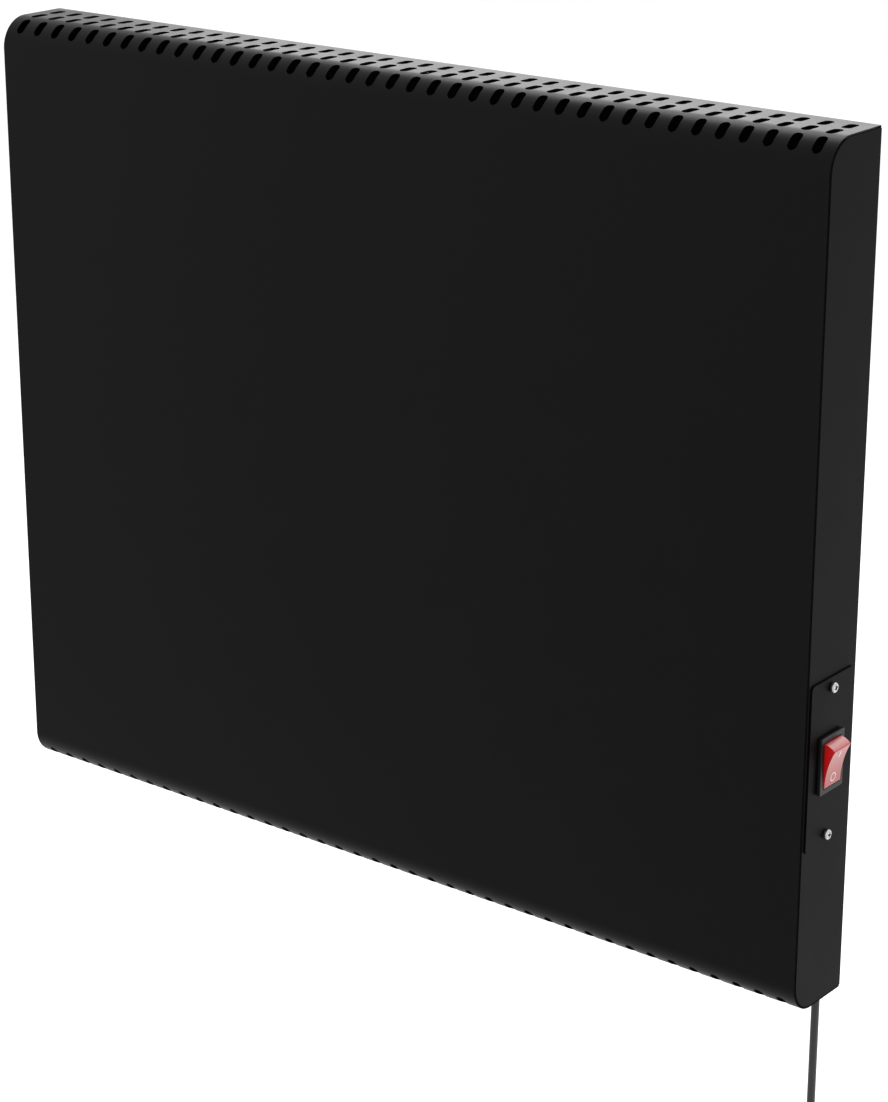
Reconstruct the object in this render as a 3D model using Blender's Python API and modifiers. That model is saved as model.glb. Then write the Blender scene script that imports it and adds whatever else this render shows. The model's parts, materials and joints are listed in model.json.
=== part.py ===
# Wall panel heater: a slotted, folded steel cover over two end plates, hung on a wall bracket.
# Metres, +Z up. The wall is the plane y = 0 and the front of the heater faces -Y.
# The origin is the middle of the wall bracket's back face.
import math

import bmesh
import bpy
from mathutils import Matrix, Vector

# Overall sizes
WIDTH = 0.600
HEIGHT = 0.500
DEPTH = 0.050
WALL_GAP = 0.015
BRACKET_DROP = 0.090
GAP = 0.0003

# Folded cover and its slots
SHEET = 0.0010
BEND_R = 0.019
BEND_STEPS = 6
LIP = 0.012
COVER_SETBACK = 0.0006
SLOT_LENGTH = 0.012
SLOT_WIDTH = 0.006
SLOT_PITCH = 0.0148
SLOT_END = 0.010
ROW_EDGE = 0.013
ROW_PITCH = 0.0155
ROW_COUNT = 3

# End plates and back
END_SHEET = 0.0012
END_RIM = 0.0055
BACK_SHEET = 0.0008
BACK_INSET = 0.003
BACK_CORNER = 0.004
BACK_SCREW_END = 0.020

# Switch and its cover plate on the right end
PLATE_Y = -0.0245
SWITCH_Y = -0.0258
SWITCH_Z = 0.150
PLATE_TALL = 0.100
PLATE_WIDE = 0.044
PLATE_SHEET = 0.0008
PLATE_CORNER = 0.003
PLATE_SCREW_SPACING = 0.088
SERVICE_TALL = 0.068
SERVICE_WIDE = 0.030
BEZEL_TALL = 0.034
BEZEL_WIDE = 0.0238
BEZEL_RISE = 0.0019
SWITCH_BODY_DEPTH = 0.021
SWITCH_WALL_END = 0.00135
SWITCH_WALL_SIDE = 0.0006
ROCKER_WIDE = 0.0170
ROCKER_RADIUS = 0.0136
ROCKER_TIP_RISE = 0.0064
ROCKER_SAG = 0.0014
ROCKER_ROOT = 0.0045
ROCKER_TILT = math.radians(14.0)
ROCKER_PIVOT_OUT = 0.0006
TAB_WIDE = 0.0063
TAB_THICK = 0.0008
TAB_LENGTH = 0.008
TAB_SPACING_Y = 0.011
TAB_SPACING_Z = 0.016

# Screws and rivets
SCREW_R = 0.0016
SCREW_HEAD_R = 0.0030
SCREW_HEAD_H = 0.0024
SCREW_LENGTH = 0.009
BACK_SCREW_LENGTH = 0.006
RIVET_HEAD_R = 0.0030
RIVET_HEAD_H = 0.0009

# Heating element and what carries it
ELEMENT_END = 0.038
ELEMENT_Y = -0.025
ELEMENT_Z = 0.090
ELEMENT_ARM = 0.030
ELEMENT_ARM_ANGLE = math.radians(62.0)
ELEMENT_HUB_R = 0.0060
ELEMENT_FIN = 0.0018
SUPPORT_SHEET = 0.0010
SUPPORT_TALL = 0.026
SUPPORT_FOOT = 0.011
SUPPORT_LIP = 0.004
INSULATOR_R = 0.0045
INSULATOR_FLANGE_R = 0.0068
INSULATOR_FLANGE = 0.003
INSULATOR_LENGTH = 0.010
SHIELD_END = 0.070
SHIELD_LOW = 0.056
SHIELD_HIGH = 0.044
SHIELD_SHEET = 0.0006
SHIELD_DEPTH = 0.004
SHIELD_CORNER = 0.004
CUTOUT_R = 0.0080
CUTOUT_THICK = 0.0060
CUTOUT_IN = 0.028
CUTOUT_RISE = 0.048
CUTOUT_ARM = 0.020
CUTOUT_FOOT = 0.010
CUTOUT_BRACKET_WIDE = 0.018

# Wiring
BLOCK_WIDE = 0.027
BLOCK_DEEP = 0.014
BLOCK_TALL = 0.017
BLOCK_END = 0.0335
BLOCK_Z = 0.038
BLOCK_HOLE_R = 0.0016
BLOCK_HOLE_PITCH = 0.008
WIRE_R = 0.0011
WIRE_BEND = 0.006
WIRE_STUB = 0.004
STUD_SPACING = 0.0305
STUD_R = 0.0020
STUD_LENGTH = 0.010
STUD_NUT_R = 0.0036

# Wall bracket, hooks and lower spacers
BRACKET_WIDE = 0.400
BRACKET_TALL = 0.040
BRACKET_SHEET = 0.0015
BRACKET_REACH = 0.0080
BRACKET_LIP = 0.012
BRACKET_HOLE_R = 0.0024
BRACKET_HOLE_END = 0.030
HOOK_WIDE = 0.030
HOOK_END = 0.050
HOOK_SHEET = 0.0015
HOOK_FLANGE = 0.022
HOOK_DROP = 0.010
SPACER_R = 0.008
SPACER_END = 0.100
SPACER_Z = 0.050

# Cord, its bushing, the tied hank and the plug
CORD_R = 0.0024
CORD_END = 0.011
CORD_Y = -0.0074
BUSH_HEAD_R = 0.0054
BUSH_HEAD = 0.0025
BUSH_NECK_R = 0.0040
BUSH_COLLAR_R = 0.0049
BUSH_NOSE_R = 0.0034
BUSH_NOSE = 0.0040
HANK_TOP = -0.0885
HANK_RUN = 0.0957
HANK_HALF = 0.0253
HANK_STEP = 0.0054
HANK_WAIST = 0.0045
HANK_FOLDS = 8
TIE_TALL = 0.008
TIE_WALL = 0.0012
TAIL_CLEAR = 0.004
PLUG_SLEEVE = 0.020
PLUG_GRIP = 0.020
PLUG_GRIP_R = 0.0120
PLUG_FACE = 0.015
PLUG_FACE_R = 0.0185
PIN_R = 0.0024
PIN_LENGTH = 0.019
PIN_SPACING = 0.019


# Start from an empty scene
for old in list(bpy.data.objects):
    bpy.data.objects.remove(old, do_unlink=True)

parts = bpy.data.collections.new("panel_heater")
cutters = bpy.data.collections.new("cutters")
bpy.context.scene.collection.children.link(parts)
bpy.context.scene.collection.children.link(cutters)

# The body frame: x across, y = 0 at the back edges of the cover, z = 0 at its underside
body = bpy.data.objects.new("body_frame", None)
body.location = (0.0, -WALL_GAP, BRACKET_DROP - HEIGHT)
parts.objects.link(body)


def material(name, colour, roughness, metallic=0.0):
    made = bpy.data.materials.new(name)
    made.use_nodes = True
    shader = made.node_tree.nodes["Principled BSDF"]
    shader.inputs["Base Color"].default_value = (*colour, 1.0)
    shader.inputs["Roughness"].default_value = roughness
    shader.inputs["Metallic"].default_value = metallic
    made.diffuse_color = (*colour, 1.0)
    return made


BLACK_PAINT = material("black_powder_coat", (0.012, 0.012, 0.012), 0.45)
ZINC = material("zinc_plated_steel", (0.62, 0.63, 0.65), 0.35, 1.0)
BLACK_PLASTIC = material("black_plastic", (0.02, 0.02, 0.02), 0.4)
RED_PLASTIC = material("red_plastic", (0.55, 0.01, 0.01), 0.25)
ALUMINIUM = material("aluminium", (0.78, 0.79, 0.80), 0.4, 1.0)
CERAMIC = material("ceramic", (0.80, 0.78, 0.72), 0.5)
WHITE_PLASTIC = material("white_plastic", (0.75, 0.75, 0.72), 0.5)
BRASS = material("brass", (0.70, 0.52, 0.22), 0.35, 1.0)
CORD_SHEATH = material("cord_sheath", (0.03, 0.03, 0.03), 0.55)
BROWN_WIRE = material("brown_wire", (0.16, 0.06, 0.02), 0.5)
BLUE_WIRE = material("blue_wire", (0.02, 0.10, 0.35), 0.5)
EARTH_WIRE = material("earth_wire", (0.25, 0.45, 0.03), 0.5)


def add(name, data, look, location=(0, 0, 0), rotation=(0, 0, 0), parent=body):
    made = bpy.data.objects.new(name, data)
    made.location = location
    made.rotation_euler = rotation
    made.parent = parent
    data.materials.append(look)
    parts.objects.link(made)
    return made


def add_cutter(name, data, location=(0, 0, 0), rotation=(0, 0, 0), parent=body):
    made = bpy.data.objects.new(name, data)
    made.location = location
    made.rotation_euler = rotation
    made.parent = parent
    made.hide_render = True
    made.display_type = "WIRE"
    cutters.objects.link(made)
    return made


def mesh_from(name, fill):
    work = bmesh.new()
    fill(work)
    data = bpy.data.meshes.new(name)
    work.to_mesh(data)
    work.free()
    return data


def block_mesh(name, size):
    def fill(work):
        bmesh.ops.create_cube(work, size=1.0)
        bmesh.ops.scale(work, vec=Vector(size), verts=work.verts)

    return mesh_from(name, fill)


def cylinder_mesh(name, radius, length, sides):
    def fill(work):
        bmesh.ops.create_cone(
            work, cap_ends=True, segments=sides, radius1=radius, radius2=radius, depth=length
        )

    return mesh_from(name, fill)


def bevel(made, width, segments=2):
    edge = made.modifiers.new("edge", "BEVEL")
    edge.width = width
    edge.segments = segments
    edge.limit_method = "ANGLE"
    edge.angle_limit = math.radians(40)


def cut(made, cutter):
    tool = made.modifiers.new("cut", "BOOLEAN")
    tool.operation = "DIFFERENCE"
    tool.solver = "EXACT"
    tool.object = cutter


# A turned piece: the profile runs down the outer side, from the top of the axis to its foot
def turned(name, profile, look, location, rotation=(0, 0, 0), steps=16, parent=body):
    def fill(work):
        points = [work.verts.new((r, 0.0, z)) for r, z in profile]
        for one, two in zip(points, points[1:]):
            work.edges.new((one, two))

    data = mesh_from(name, fill)
    made = add(name, data, look, location, rotation, parent)
    spin = made.modifiers.new("turn", "SCREW")
    spin.axis = "Z"
    spin.steps = steps
    spin.render_steps = steps
    spin.use_merge_vertices = True
    spin.merge_threshold = 0.00005
    spin.use_smooth_shade = True
    return made


# A flat piece: closed outlines in the curve's own plane, the first one outside
def flat(name, outlines, thickness, look, location, rotation=(0, 0, 0), parent=body):
    curve = bpy.data.curves.new(name, "CURVE")
    curve.dimensions = "2D"
    curve.fill_mode = "BOTH"
    curve.extrude = thickness / 2
    for outline in outlines:
        spline = curve.splines.new("POLY")
        spline.points.add(len(outline) - 1)
        for point, (u, v) in zip(spline.points, outline):
            point.co = (u, v, 0.0, 1.0)
        spline.use_cyclic_u = True
    return add(name, curve, look, location, rotation, parent)


# The same piece as a mesh, so that it can be cut
def as_mesh(made):
    bpy.context.view_layer.update()
    graph = bpy.context.evaluated_depsgraph_get()
    data = bpy.data.meshes.new_from_object(made.evaluated_get(graph))
    work = bmesh.new()
    work.from_mesh(data)
    bmesh.ops.remove_doubles(work, verts=work.verts, dist=0.00001)
    bmesh.ops.recalc_face_normals(work, faces=work.faces)
    work.to_mesh(data)
    work.free()
    name = made.name
    look = made.data.materials[0]
    old = made.data
    solid = bpy.data.objects.new(name + "_solid", data)
    solid.parent = made.parent
    solid.location = made.location
    solid.rotation_euler = made.rotation_euler
    data.materials.clear()
    data.materials.append(look)
    bpy.data.objects.remove(made, do_unlink=True)
    bpy.data.curves.remove(old)
    solid.name = name
    parts.objects.link(solid)
    return solid


def arc(cu, cv, radius, start, end, steps):
    turn = [start + (end - start) * i / steps for i in range(steps + 1)]
    return [(cu + radius * math.cos(a), cv + radius * math.sin(a)) for a in turn]


def rounded_box(wide, tall, radius, steps=4):
    u = wide / 2 - radius
    v = tall / 2 - radius
    out = []
    for k, (su, sv) in enumerate(((1, 1), (-1, 1), (-1, -1), (1, -1))):
        out += arc(su * u, sv * v, radius, k * math.pi / 2, (k + 1) * math.pi / 2, steps)
    return out


# A round wire or cord through points read from a smooth curve
def tube(name, points, radius, look, resolution=2, parent=body):
    curve = bpy.data.curves.new(name, "CURVE")
    curve.dimensions = "3D"
    curve.bevel_depth = radius
    curve.bevel_resolution = resolution
    curve.use_fill_caps = True
    spline = curve.splines.new("POLY")
    spline.points.add(len(points) - 1)
    for point, place in zip(spline.points, points):
        point.co = (*place, 1.0)
    spline.use_smooth = True
    return add(name, curve, look, parent=parent)


# Points at even steps along a smooth curve through the route's own points
def smooth_route(route, count):
    marks = [Vector(p) for p in route]
    ends = [2 * marks[0] - marks[1], *marks, 2 * marks[-1] - marks[-2]]
    fine = []
    for k in range(1, len(ends) - 2):
        a, b, c, d = ends[k - 1 : k + 3]
        for i in range(24):
            t = i / 24
            fine.append(
                0.5
                * (
                    2 * b
                    + (c - a) * t
                    + (2 * a - 5 * b + 4 * c - d) * t * t
                    + (3 * b - a - 3 * c + d) * t * t * t
                )
            )
    fine.append(marks[-1])
    run = [0.0]
    for one, two in zip(fine, fine[1:]):
        run.append(run[-1] + (two - one).length)
    out = []
    k = 0
    for i in range(count):
        want = run[-1] * i / (count - 1)
        while k < len(run) - 2 and run[k + 1] < want:
            k += 1
        share = (want - run[k]) / max(run[k + 1] - run[k], 1e-9)
        out.append(tuple(fine[k].lerp(fine[k + 1], min(max(share, 0.0), 1.0))))
    return out


# Rotations that stand a flat piece up: its outline lies in YZ, or in XZ
FACE_X = (math.pi / 2, 0.0, math.pi / 2)
FACE_Y = (math.pi / 2, 0.0, 0.0)

cord_x = WIDTH / 2 - CORD_END

# Folded cover: front, two bends, top and underside, and a lip at each back edge
flat_run = DEPTH - BEND_R


def cover_section():
    low = arc(-flat_run, BEND_R, BEND_R, -math.pi / 2, -math.pi, BEND_STEPS)
    high = arc(-flat_run, HEIGHT - BEND_R, BEND_R, math.pi, math.pi / 2, BEND_STEPS)
    return [(0.0, LIP), (0.0, 0.0), *low, *high, (0.0, HEIGHT), (0.0, HEIGHT - LIP)]


def fill_cover(work):
    half = WIDTH / 2 - COVER_SETBACK
    edge = [work.verts.new((-half, y, z)) for y, z in cover_section()]
    sides = [work.edges.new(pair) for pair in zip(edge, edge[1:])]
    grown = bmesh.ops.extrude_edge_only(work, edges=sides)["geom"]
    moved = [item for item in grown if isinstance(item, bmesh.types.BMVert)]
    bmesh.ops.translate(work, vec=(2 * half, 0.0, 0.0), verts=moved)
    work.normal_update()
    front = max(work.faces, key=lambda face: face.calc_area())
    if front.normal.y > 0:
        bmesh.ops.reverse_faces(work, faces=work.faces)


front_panel = add("front_panel", mesh_from("front_panel", fill_cover), BLACK_PAINT)
wall = front_panel.modifiers.new("sheet", "SOLIDIFY")
wall.thickness = SHEET
wall.offset = -1.0
wall.use_even_offset = True

# Slots: an eight-sided punch with round ends, turned to stand square to the sheet at its row
slot_sides = 8
punch_r = SLOT_WIDTH / 2 / math.cos(math.pi / slot_sides)
punch_deep = 0.016


def add_punch(work, place):
    turn = Matrix.Rotation(math.pi / slot_sides, 4, "Z")
    made = bmesh.ops.create_cone(
        work,
        cap_ends=True,
        segments=slot_sides,
        radius1=punch_r,
        radius2=punch_r,
        depth=punch_deep,
        matrix=turn,
    )["verts"]
    for point in made:
        point.co.y += math.copysign((SLOT_LENGTH - SLOT_WIDTH) / 2, point.co.y)
    bmesh.ops.transform(work, matrix=place, verts=made)


def row_place(x, row, top):
    along = ROW_EDGE + row * ROW_PITCH
    angle = max(0.0, along - flat_run) / BEND_R
    if angle > 0:
        y = -flat_run - BEND_R * math.sin(angle)
        z = HEIGHT - BEND_R + BEND_R * math.cos(angle)
    else:
        y = -along
        z = HEIGHT
    if not top:
        z = HEIGHT - z
        angle = -angle
    return Matrix.Translation((x, y, z)) @ Matrix.Rotation(angle, 4, "X")


slot_count = math.floor((WIDTH - 2 * SLOT_END) / SLOT_PITCH) + 1
slot_x = [(i - (slot_count - 1) / 2) * SLOT_PITCH for i in range(slot_count)]


def clear_of_cord(x, row, top):
    along = ROW_EDGE + row * ROW_PITCH
    near_x = abs(x - cord_x) < SLOT_WIDTH / 2 + BUSH_HEAD_R
    near_y = abs(-along - CORD_Y) < SLOT_LENGTH / 2 + BUSH_HEAD_R
    return top or not (near_x and near_y)


for level, top in (("top", True), ("under", False)):
    for row in range(ROW_COUNT):

        def fill_row(work):
            for x in slot_x:
                if clear_of_cord(x, row, top):
                    add_punch(work, row_place(x, row, top))

        name = "%s_slots_%d" % (level, row + 1)
        cut(front_panel, add_cutter(name, mesh_from(name, fill_row)))

# The lips stop short of the end plates, and the underside takes the cord's bushing
lip_end = WIDTH / 2 - END_RIM - GAP
for side, mark in ((-1, "left"), (1, "right")):
    for low, where in ((True, "low"), (False, "high")):
        long = WIDTH / 2 - lip_end + 0.002
        z = SHEET + LIP / 2 + 0.0005 if low else HEIGHT - SHEET - LIP / 2 - 0.0005
        relief = block_mesh("lip_relief", (long, 2.4 * SHEET, LIP + 0.001))
        x = side * (lip_end + long / 2)
        cut(front_panel, add_cutter("lip_relief_%s_%s" % (mark, where), relief, (x, -0.2 * SHEET, z)))
bush_hole = cylinder_mesh("bush_hole", BUSH_NECK_R + GAP, 6 * SHEET, 16)
cut(front_panel, add_cutter("bush_hole", bush_hole, (cord_x, CORD_Y, SHEET / 2)))

# End plates: shallow trays that follow the cover's inside
inset = SHEET + GAP
tray_r = BEND_R - inset


def tray_outline():
    low = arc(-flat_run, BEND_R, tray_r, -math.pi / 2, -math.pi, BEND_STEPS)
    high = arc(-flat_run, HEIGHT - BEND_R, tray_r, math.pi, math.pi / 2, BEND_STEPS)
    return [(0.0, inset), *low, *high, (0.0, HEIGHT - inset)]


def tray_mesh(name, side):
    def fill(work):
        ring = [work.verts.new((0.0, y, z)) for y, z in tray_outline()]
        work.faces.new(ring)
        grown = bmesh.ops.extrude_edge_only(work, edges=list(work.edges))["geom"]
        moved = [item for item in grown if isinstance(item, bmesh.types.BMVert)]
        bmesh.ops.translate(work, vec=(-side * END_RIM, 0.0, 0.0), verts=moved)
        work.normal_update()
        plate = max(work.faces, key=lambda face: face.calc_area())
        bmesh.ops.recalc_face_normals(work, faces=work.faces)
        if plate.normal.x * side < 0:
            bmesh.ops.reverse_faces(work, faces=work.faces)

    return mesh_from(name, fill)


end_plates = {}
for side, name in ((-1, "left_end_plate"), (1, "right_end_plate")):
    plate = add(name, tray_mesh(name, side), BLACK_PAINT, (side * WIDTH / 2, 0.0, 0.0))
    wall = plate.modifiers.new("sheet", "SOLIDIFY")
    wall.thickness = END_SHEET
    wall.offset = -1.0
    wall.use_even_offset = True
    end_plates[side] = plate

service = block_mesh("service_opening", (0.02, SERVICE_WIDE, SERVICE_TALL))
cut(end_plates[1], add_cutter("service_opening", service, (WIDTH / 2, PLATE_Y, SWITCH_Z)))
screw_hole = cylinder_mesh("screw_hole", SCREW_R + GAP, 0.02, 12)
plate_screw_z = [SWITCH_Z + s * PLATE_SCREW_SPACING / 2 for s in (1, -1)]
for level, z in zip(("upper", "lower"), plate_screw_z):
    hole = add_cutter(
        "plate_hole_" + level, screw_hole, (WIDTH / 2, SWITCH_Y, z), (0.0, math.pi / 2, 0.0)
    )
    cut(end_plates[1], hole)

# Switch cover plate, screwed on over the service opening
plate_in = WIDTH / 2 + GAP
plate_out = plate_in + PLATE_SHEET
body_wide = ROCKER_WIDE + 2 * GAP + 2 * SWITCH_WALL_SIDE
body_tall = 2 * ROCKER_RADIUS + 2 * GAP + 2 * SWITCH_WALL_END
off_middle = SWITCH_Y - PLATE_Y
window = rounded_box(body_wide + 2 * GAP, body_tall + 2 * GAP, 0.0005, 1)
window = [(u + off_middle, v) for u, v in window]
plate_holes = [
    arc(off_middle, s * PLATE_SCREW_SPACING / 2, SCREW_R + GAP, 0.0, 2 * math.pi * 11 / 12, 11)
    for s in (1, -1)
]
flat(
    "switch_cover_plate",
    [rounded_box(PLATE_WIDE, PLATE_TALL, PLATE_CORNER), window, *plate_holes],
    PLATE_SHEET,
    BLACK_PAINT,
    (plate_in + PLATE_SHEET / 2, PLATE_Y, SWITCH_Z),
    FACE_X,
)


# A pan head screw, its head's underside at the origin and its tip down -Z
def screw_profile(length):
    dome = [
        (SCREW_HEAD_R * math.sin(a), SCREW_HEAD_H * (0.35 + 0.65 * math.cos(a)))
        for a in (math.pi / 2 * k / 4 for k in range(5))
    ]
    dome[0] = (0.0, SCREW_HEAD_H)
    return [
        *dome,
        (SCREW_HEAD_R, 0.0),
        (SCREW_R, 0.0),
        (SCREW_R, -length + SCREW_R),
        (0.0, -length),
    ]


for level, z in zip(("upper", "lower"), plate_screw_z):
    turned(
        "cover_screw_" + level,
        screw_profile(SCREW_LENGTH),
        ZINC,
        (plate_out + GAP, SWITCH_Y, z),
        (0.0, math.pi / 2, 0.0),
        16,
    )

# Rocker switch: a bezel and body in one moulding, open to the outside for the rocker
bezel_in = plate_out + GAP
bezel_out = bezel_in + BEZEL_RISE
pocket_wide = ROCKER_WIDE + 2 * GAP
pocket_tall = 2 * (ROCKER_RADIUS + GAP)
pivot_x = WIDTH / 2 + ROCKER_PIVOT_OUT
rocker_reach = math.hypot(ROCKER_ROOT, ROCKER_RADIUS) * math.sin(
    math.atan2(ROCKER_ROOT, math.sqrt(ROCKER_RADIUS**2 - ROCKER_ROOT**2)) + ROCKER_TILT
)
pocket_floor = pivot_x - rocker_reach - 2 * GAP
body_in = bezel_in - SWITCH_BODY_DEPTH

bezel = add(
    "switch_housing",
    block_mesh("switch_housing", (BEZEL_RISE, BEZEL_WIDE, BEZEL_TALL)),
    BLACK_PLASTIC,
    ((bezel_in + bezel_out) / 2, SWITCH_Y, SWITCH_Z),
)
bevel(bezel, 0.0007, 2)
core_deep = SWITCH_BODY_DEPTH + BEZEL_RISE / 2
core = add_cutter(
    "switch_core",
    block_mesh("switch_core", (core_deep, body_wide, body_tall)),
    (body_in + core_deep / 2, SWITCH_Y, SWITCH_Z),
)
join = bezel.modifiers.new("join", "BOOLEAN")
join.operation = "UNION"
join.solver = "EXACT"
join.object = core
pocket_deep = bezel_out + 0.002 - pocket_floor
pocket = add_cutter(
    "rocker_pocket",
    block_mesh("rocker_pocket", (pocket_deep, pocket_wide, pocket_tall)),
    (pocket_floor + pocket_deep / 2, SWITCH_Y, SWITCH_Z),
)
cut(bezel, pocket)

# Rocker: a hollow-faced key that turns on its pivot. Its origin is on the pivot's axis.
tip_along = math.sqrt(ROCKER_RADIUS**2 - ROCKER_TIP_RISE**2)
root_along = math.sqrt(ROCKER_RADIUS**2 - ROCKER_ROOT**2)


def rocker_outline():
    tip = math.atan2(tip_along, ROCKER_TIP_RISE)
    root = math.atan2(root_along, -ROCKER_ROOT)
    end = arc(0.0, 0.0, ROCKER_RADIUS, tip, root, 5)
    face_r = (tip_along**2 + ROCKER_SAG**2) / (2 * ROCKER_SAG)
    swing = math.asin(tip_along / face_r)
    centre = ROCKER_TIP_RISE - ROCKER_SAG + face_r
    face = [
        (centre - face_r * math.cos(a), face_r * math.sin(a))
        for a in (-swing + 2 * swing * k / 8 for k in range(9))
    ]
    other = [(u, -v) for u, v in reversed(end)]
    return [*face[:-1], *end, *other[:-1]]


rocker_pivot = bpy.data.objects.new("rocker_pivot", None)
rocker_pivot.parent = body
rocker_pivot.location = (pivot_x, SWITCH_Y, SWITCH_Z)
rocker_pivot.rotation_euler = (0.0, ROCKER_TILT, 0.0)
parts.objects.link(rocker_pivot)
flat(
    "rocker",
    [rocker_outline()],
    ROCKER_WIDE,
    RED_PLASTIC,
    (0.0, 0.0, 0.0),
    (math.pi / 2, 0.0, 0.0),
    rocker_pivot,
)

# Blade terminals at the back of the switch
tab_x = body_in - GAP - TAB_LENGTH / 2
tab_place = {}
for row, sz in (("upper", 1), ("lower", -1)):
    for line, sy in (("front", -1), ("rear", 1)):
        place = (tab_x, SWITCH_Y + sy * TAB_SPACING_Y / 2, SWITCH_Z + sz * TAB_SPACING_Z / 2)
        name = "switch_tab_%s_%s" % (row, line)
        add(name, block_mesh(name, (TAB_LENGTH, TAB_WIDE, TAB_THICK)), BRASS, place)
        tab_place[row, line] = place

# Back panel over the lips and the end plates' rims
back_y = GAP + BACK_SHEET / 2
back_out = GAP + BACK_SHEET
screw_x = [k * (WIDTH / 2 - BACK_SCREW_END) for k in (-1, 0, 1)]
lip_z = [SHEET + (LIP - SHEET) / 2, HEIGHT - SHEET - (LIP - SHEET) / 2]
back_outline = rounded_box(WIDTH - 2 * BACK_INSET, HEIGHT - 2 * BACK_INSET, BACK_CORNER, 2)
back_holes = [
    arc(x, z - HEIGHT / 2, SCREW_R + GAP, 0.0, 2 * math.pi * 7 / 8, 7) for x in screw_x for z in lip_z
]
flat(
    "back_panel",
    [back_outline, *back_holes],
    BACK_SHEET,
    BLACK_PAINT,
    (0.0, back_y, HEIGHT / 2),
    FACE_Y,
)
lip_hole = cylinder_mesh("lip_hole", SCREW_R + GAP, 0.01, 8)
for level, z in zip(("low", "high"), lip_z):
    for spot, x in zip(("left", "middle", "right"), screw_x):
        mark = "%s_%s" % (level, spot)
        hole = add_cutter("lip_hole_" + mark, lip_hole, (x, 0.0, z), (math.pi / 2, 0.0, 0.0))
        cut(front_panel, hole)
        turned(
            "back_screw_" + mark,
            screw_profile(BACK_SCREW_LENGTH),
            ZINC,
            (x, back_out + GAP, z),
            (-math.pi / 2, 0.0, 0.0),
            10,
        )

# Heating element: an extruded aluminium cross with a tubular core
element_long = WIDTH - 2 * ELEMENT_END
half_fin = ELEMENT_FIN / 2


def element_outline():
    arms = [ELEMENT_ARM_ANGLE, math.pi - ELEMENT_ARM_ANGLE]
    arms += [a + math.pi for a in arms]
    arms.sort()
    root = math.sqrt(ELEMENT_HUB_R**2 - half_fin**2)
    lean = math.asin(half_fin / ELEMENT_HUB_R)
    out = []
    for k, a in enumerate(arms):
        along = Vector((math.cos(a), math.sin(a)))
        across = Vector((-along.y, along.x))
        for reach, shift in ((root, -1), (ELEMENT_ARM, -1), (ELEMENT_ARM, 1), (root, 1)):
            out.append(tuple(along * reach + across * shift * half_fin))
        after = arms[(k + 1) % 4] + (2 * math.pi if k == 3 else 0.0)
        out += arc(0.0, 0.0, ELEMENT_HUB_R, a + lean, after - lean, 3)[1:-1]
    return out


flat(
    "heating_element",
    [element_outline()],
    element_long,
    ALUMINIUM,
    (0.0, ELEMENT_Y, ELEMENT_Z),
    FACE_X,
)

# Angle supports on the back panel, each with a ceramic insulator that holds one end
support_in = element_long / 2 + GAP
support_deep = -ELEMENT_Y + INSULATOR_FLANGE_R + SUPPORT_LIP
insulator_hole = cylinder_mesh("insulator_hole", INSULATOR_R + GAP, 0.01, 12)
for side, mark in ((-1, "left"), (1, "right")):
    far = support_in + SUPPORT_SHEET
    angle_iron = [
        (support_in, 0.0),
        (support_in, -support_deep),
        (far, -support_deep),
        (far, -SUPPORT_SHEET),
        (support_in + SUPPORT_FOOT, -SUPPORT_SHEET),
        (support_in + SUPPORT_FOOT, 0.0),
    ]
    support = flat(
        "element_support_" + mark,
        [[(side * u, v) for u, v in angle_iron]],
        SUPPORT_TALL,
        ZINC,
        (0.0, 0.0, ELEMENT_Z),
    )
    support = as_mesh(support)
    hole = add_cutter(
        "insulator_hole_" + mark,
        insulator_hole,
        (side * support_in, ELEMENT_Y, ELEMENT_Z),
        (0.0, math.pi / 2, 0.0),
    )
    cut(support, hole)
    collar = far - support_in + GAP
    turned(
        "element_insulator_" + mark,
        [
            (0.0, INSULATOR_LENGTH),
            (INSULATOR_R * 0.8, INSULATOR_LENGTH),
            (INSULATOR_R * 0.8, collar + INSULATOR_FLANGE),
            (INSULATOR_FLANGE_R, collar + INSULATOR_FLANGE),
            (INSULATOR_FLANGE_R, collar),
            (INSULATOR_R, collar),
            (INSULATOR_R, 0.0),
            (0.0, 0.0),
        ],
        CERAMIC,
        (side * support_in, ELEMENT_Y, ELEMENT_Z),
        (0.0, side * math.pi / 2, 0.0),
        12,
    )

# Heat shield: a shallow aluminium tray that stands on the back panel
shield_wide = WIDTH - 2 * SHIELD_END
shield_tall = HEIGHT - SHIELD_LOW - SHIELD_HIGH


def fill_shield(work):
    ring = rounded_box(shield_wide, shield_tall, SHIELD_CORNER, 2)
    edge = [work.verts.new((x, -SHIELD_DEPTH, z)) for x, z in ring]
    work.faces.new(edge)
    grown = bmesh.ops.extrude_edge_only(work, edges=list(work.edges))["geom"]
    moved = [item for item in grown if isinstance(item, bmesh.types.BMVert)]
    bmesh.ops.translate(work, vec=(0.0, SHIELD_DEPTH, 0.0), verts=moved)
    bmesh.ops.recalc_face_normals(work, faces=work.faces)
    plate = max(work.faces, key=lambda face: face.calc_area())
    if plate.normal.y > 0:
        bmesh.ops.reverse_faces(work, faces=work.faces)


shield = add(
    "heat_shield",
    mesh_from("heat_shield", fill_shield),
    ALUMINIUM,
    (0.0, 0.0, SHIELD_LOW + shield_tall / 2),
)
wall = shield.modifiers.new("sheet", "SOLIDIFY")
wall.thickness = SHIELD_SHEET
wall.offset = -1.0
wall.use_even_offset = True

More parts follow.
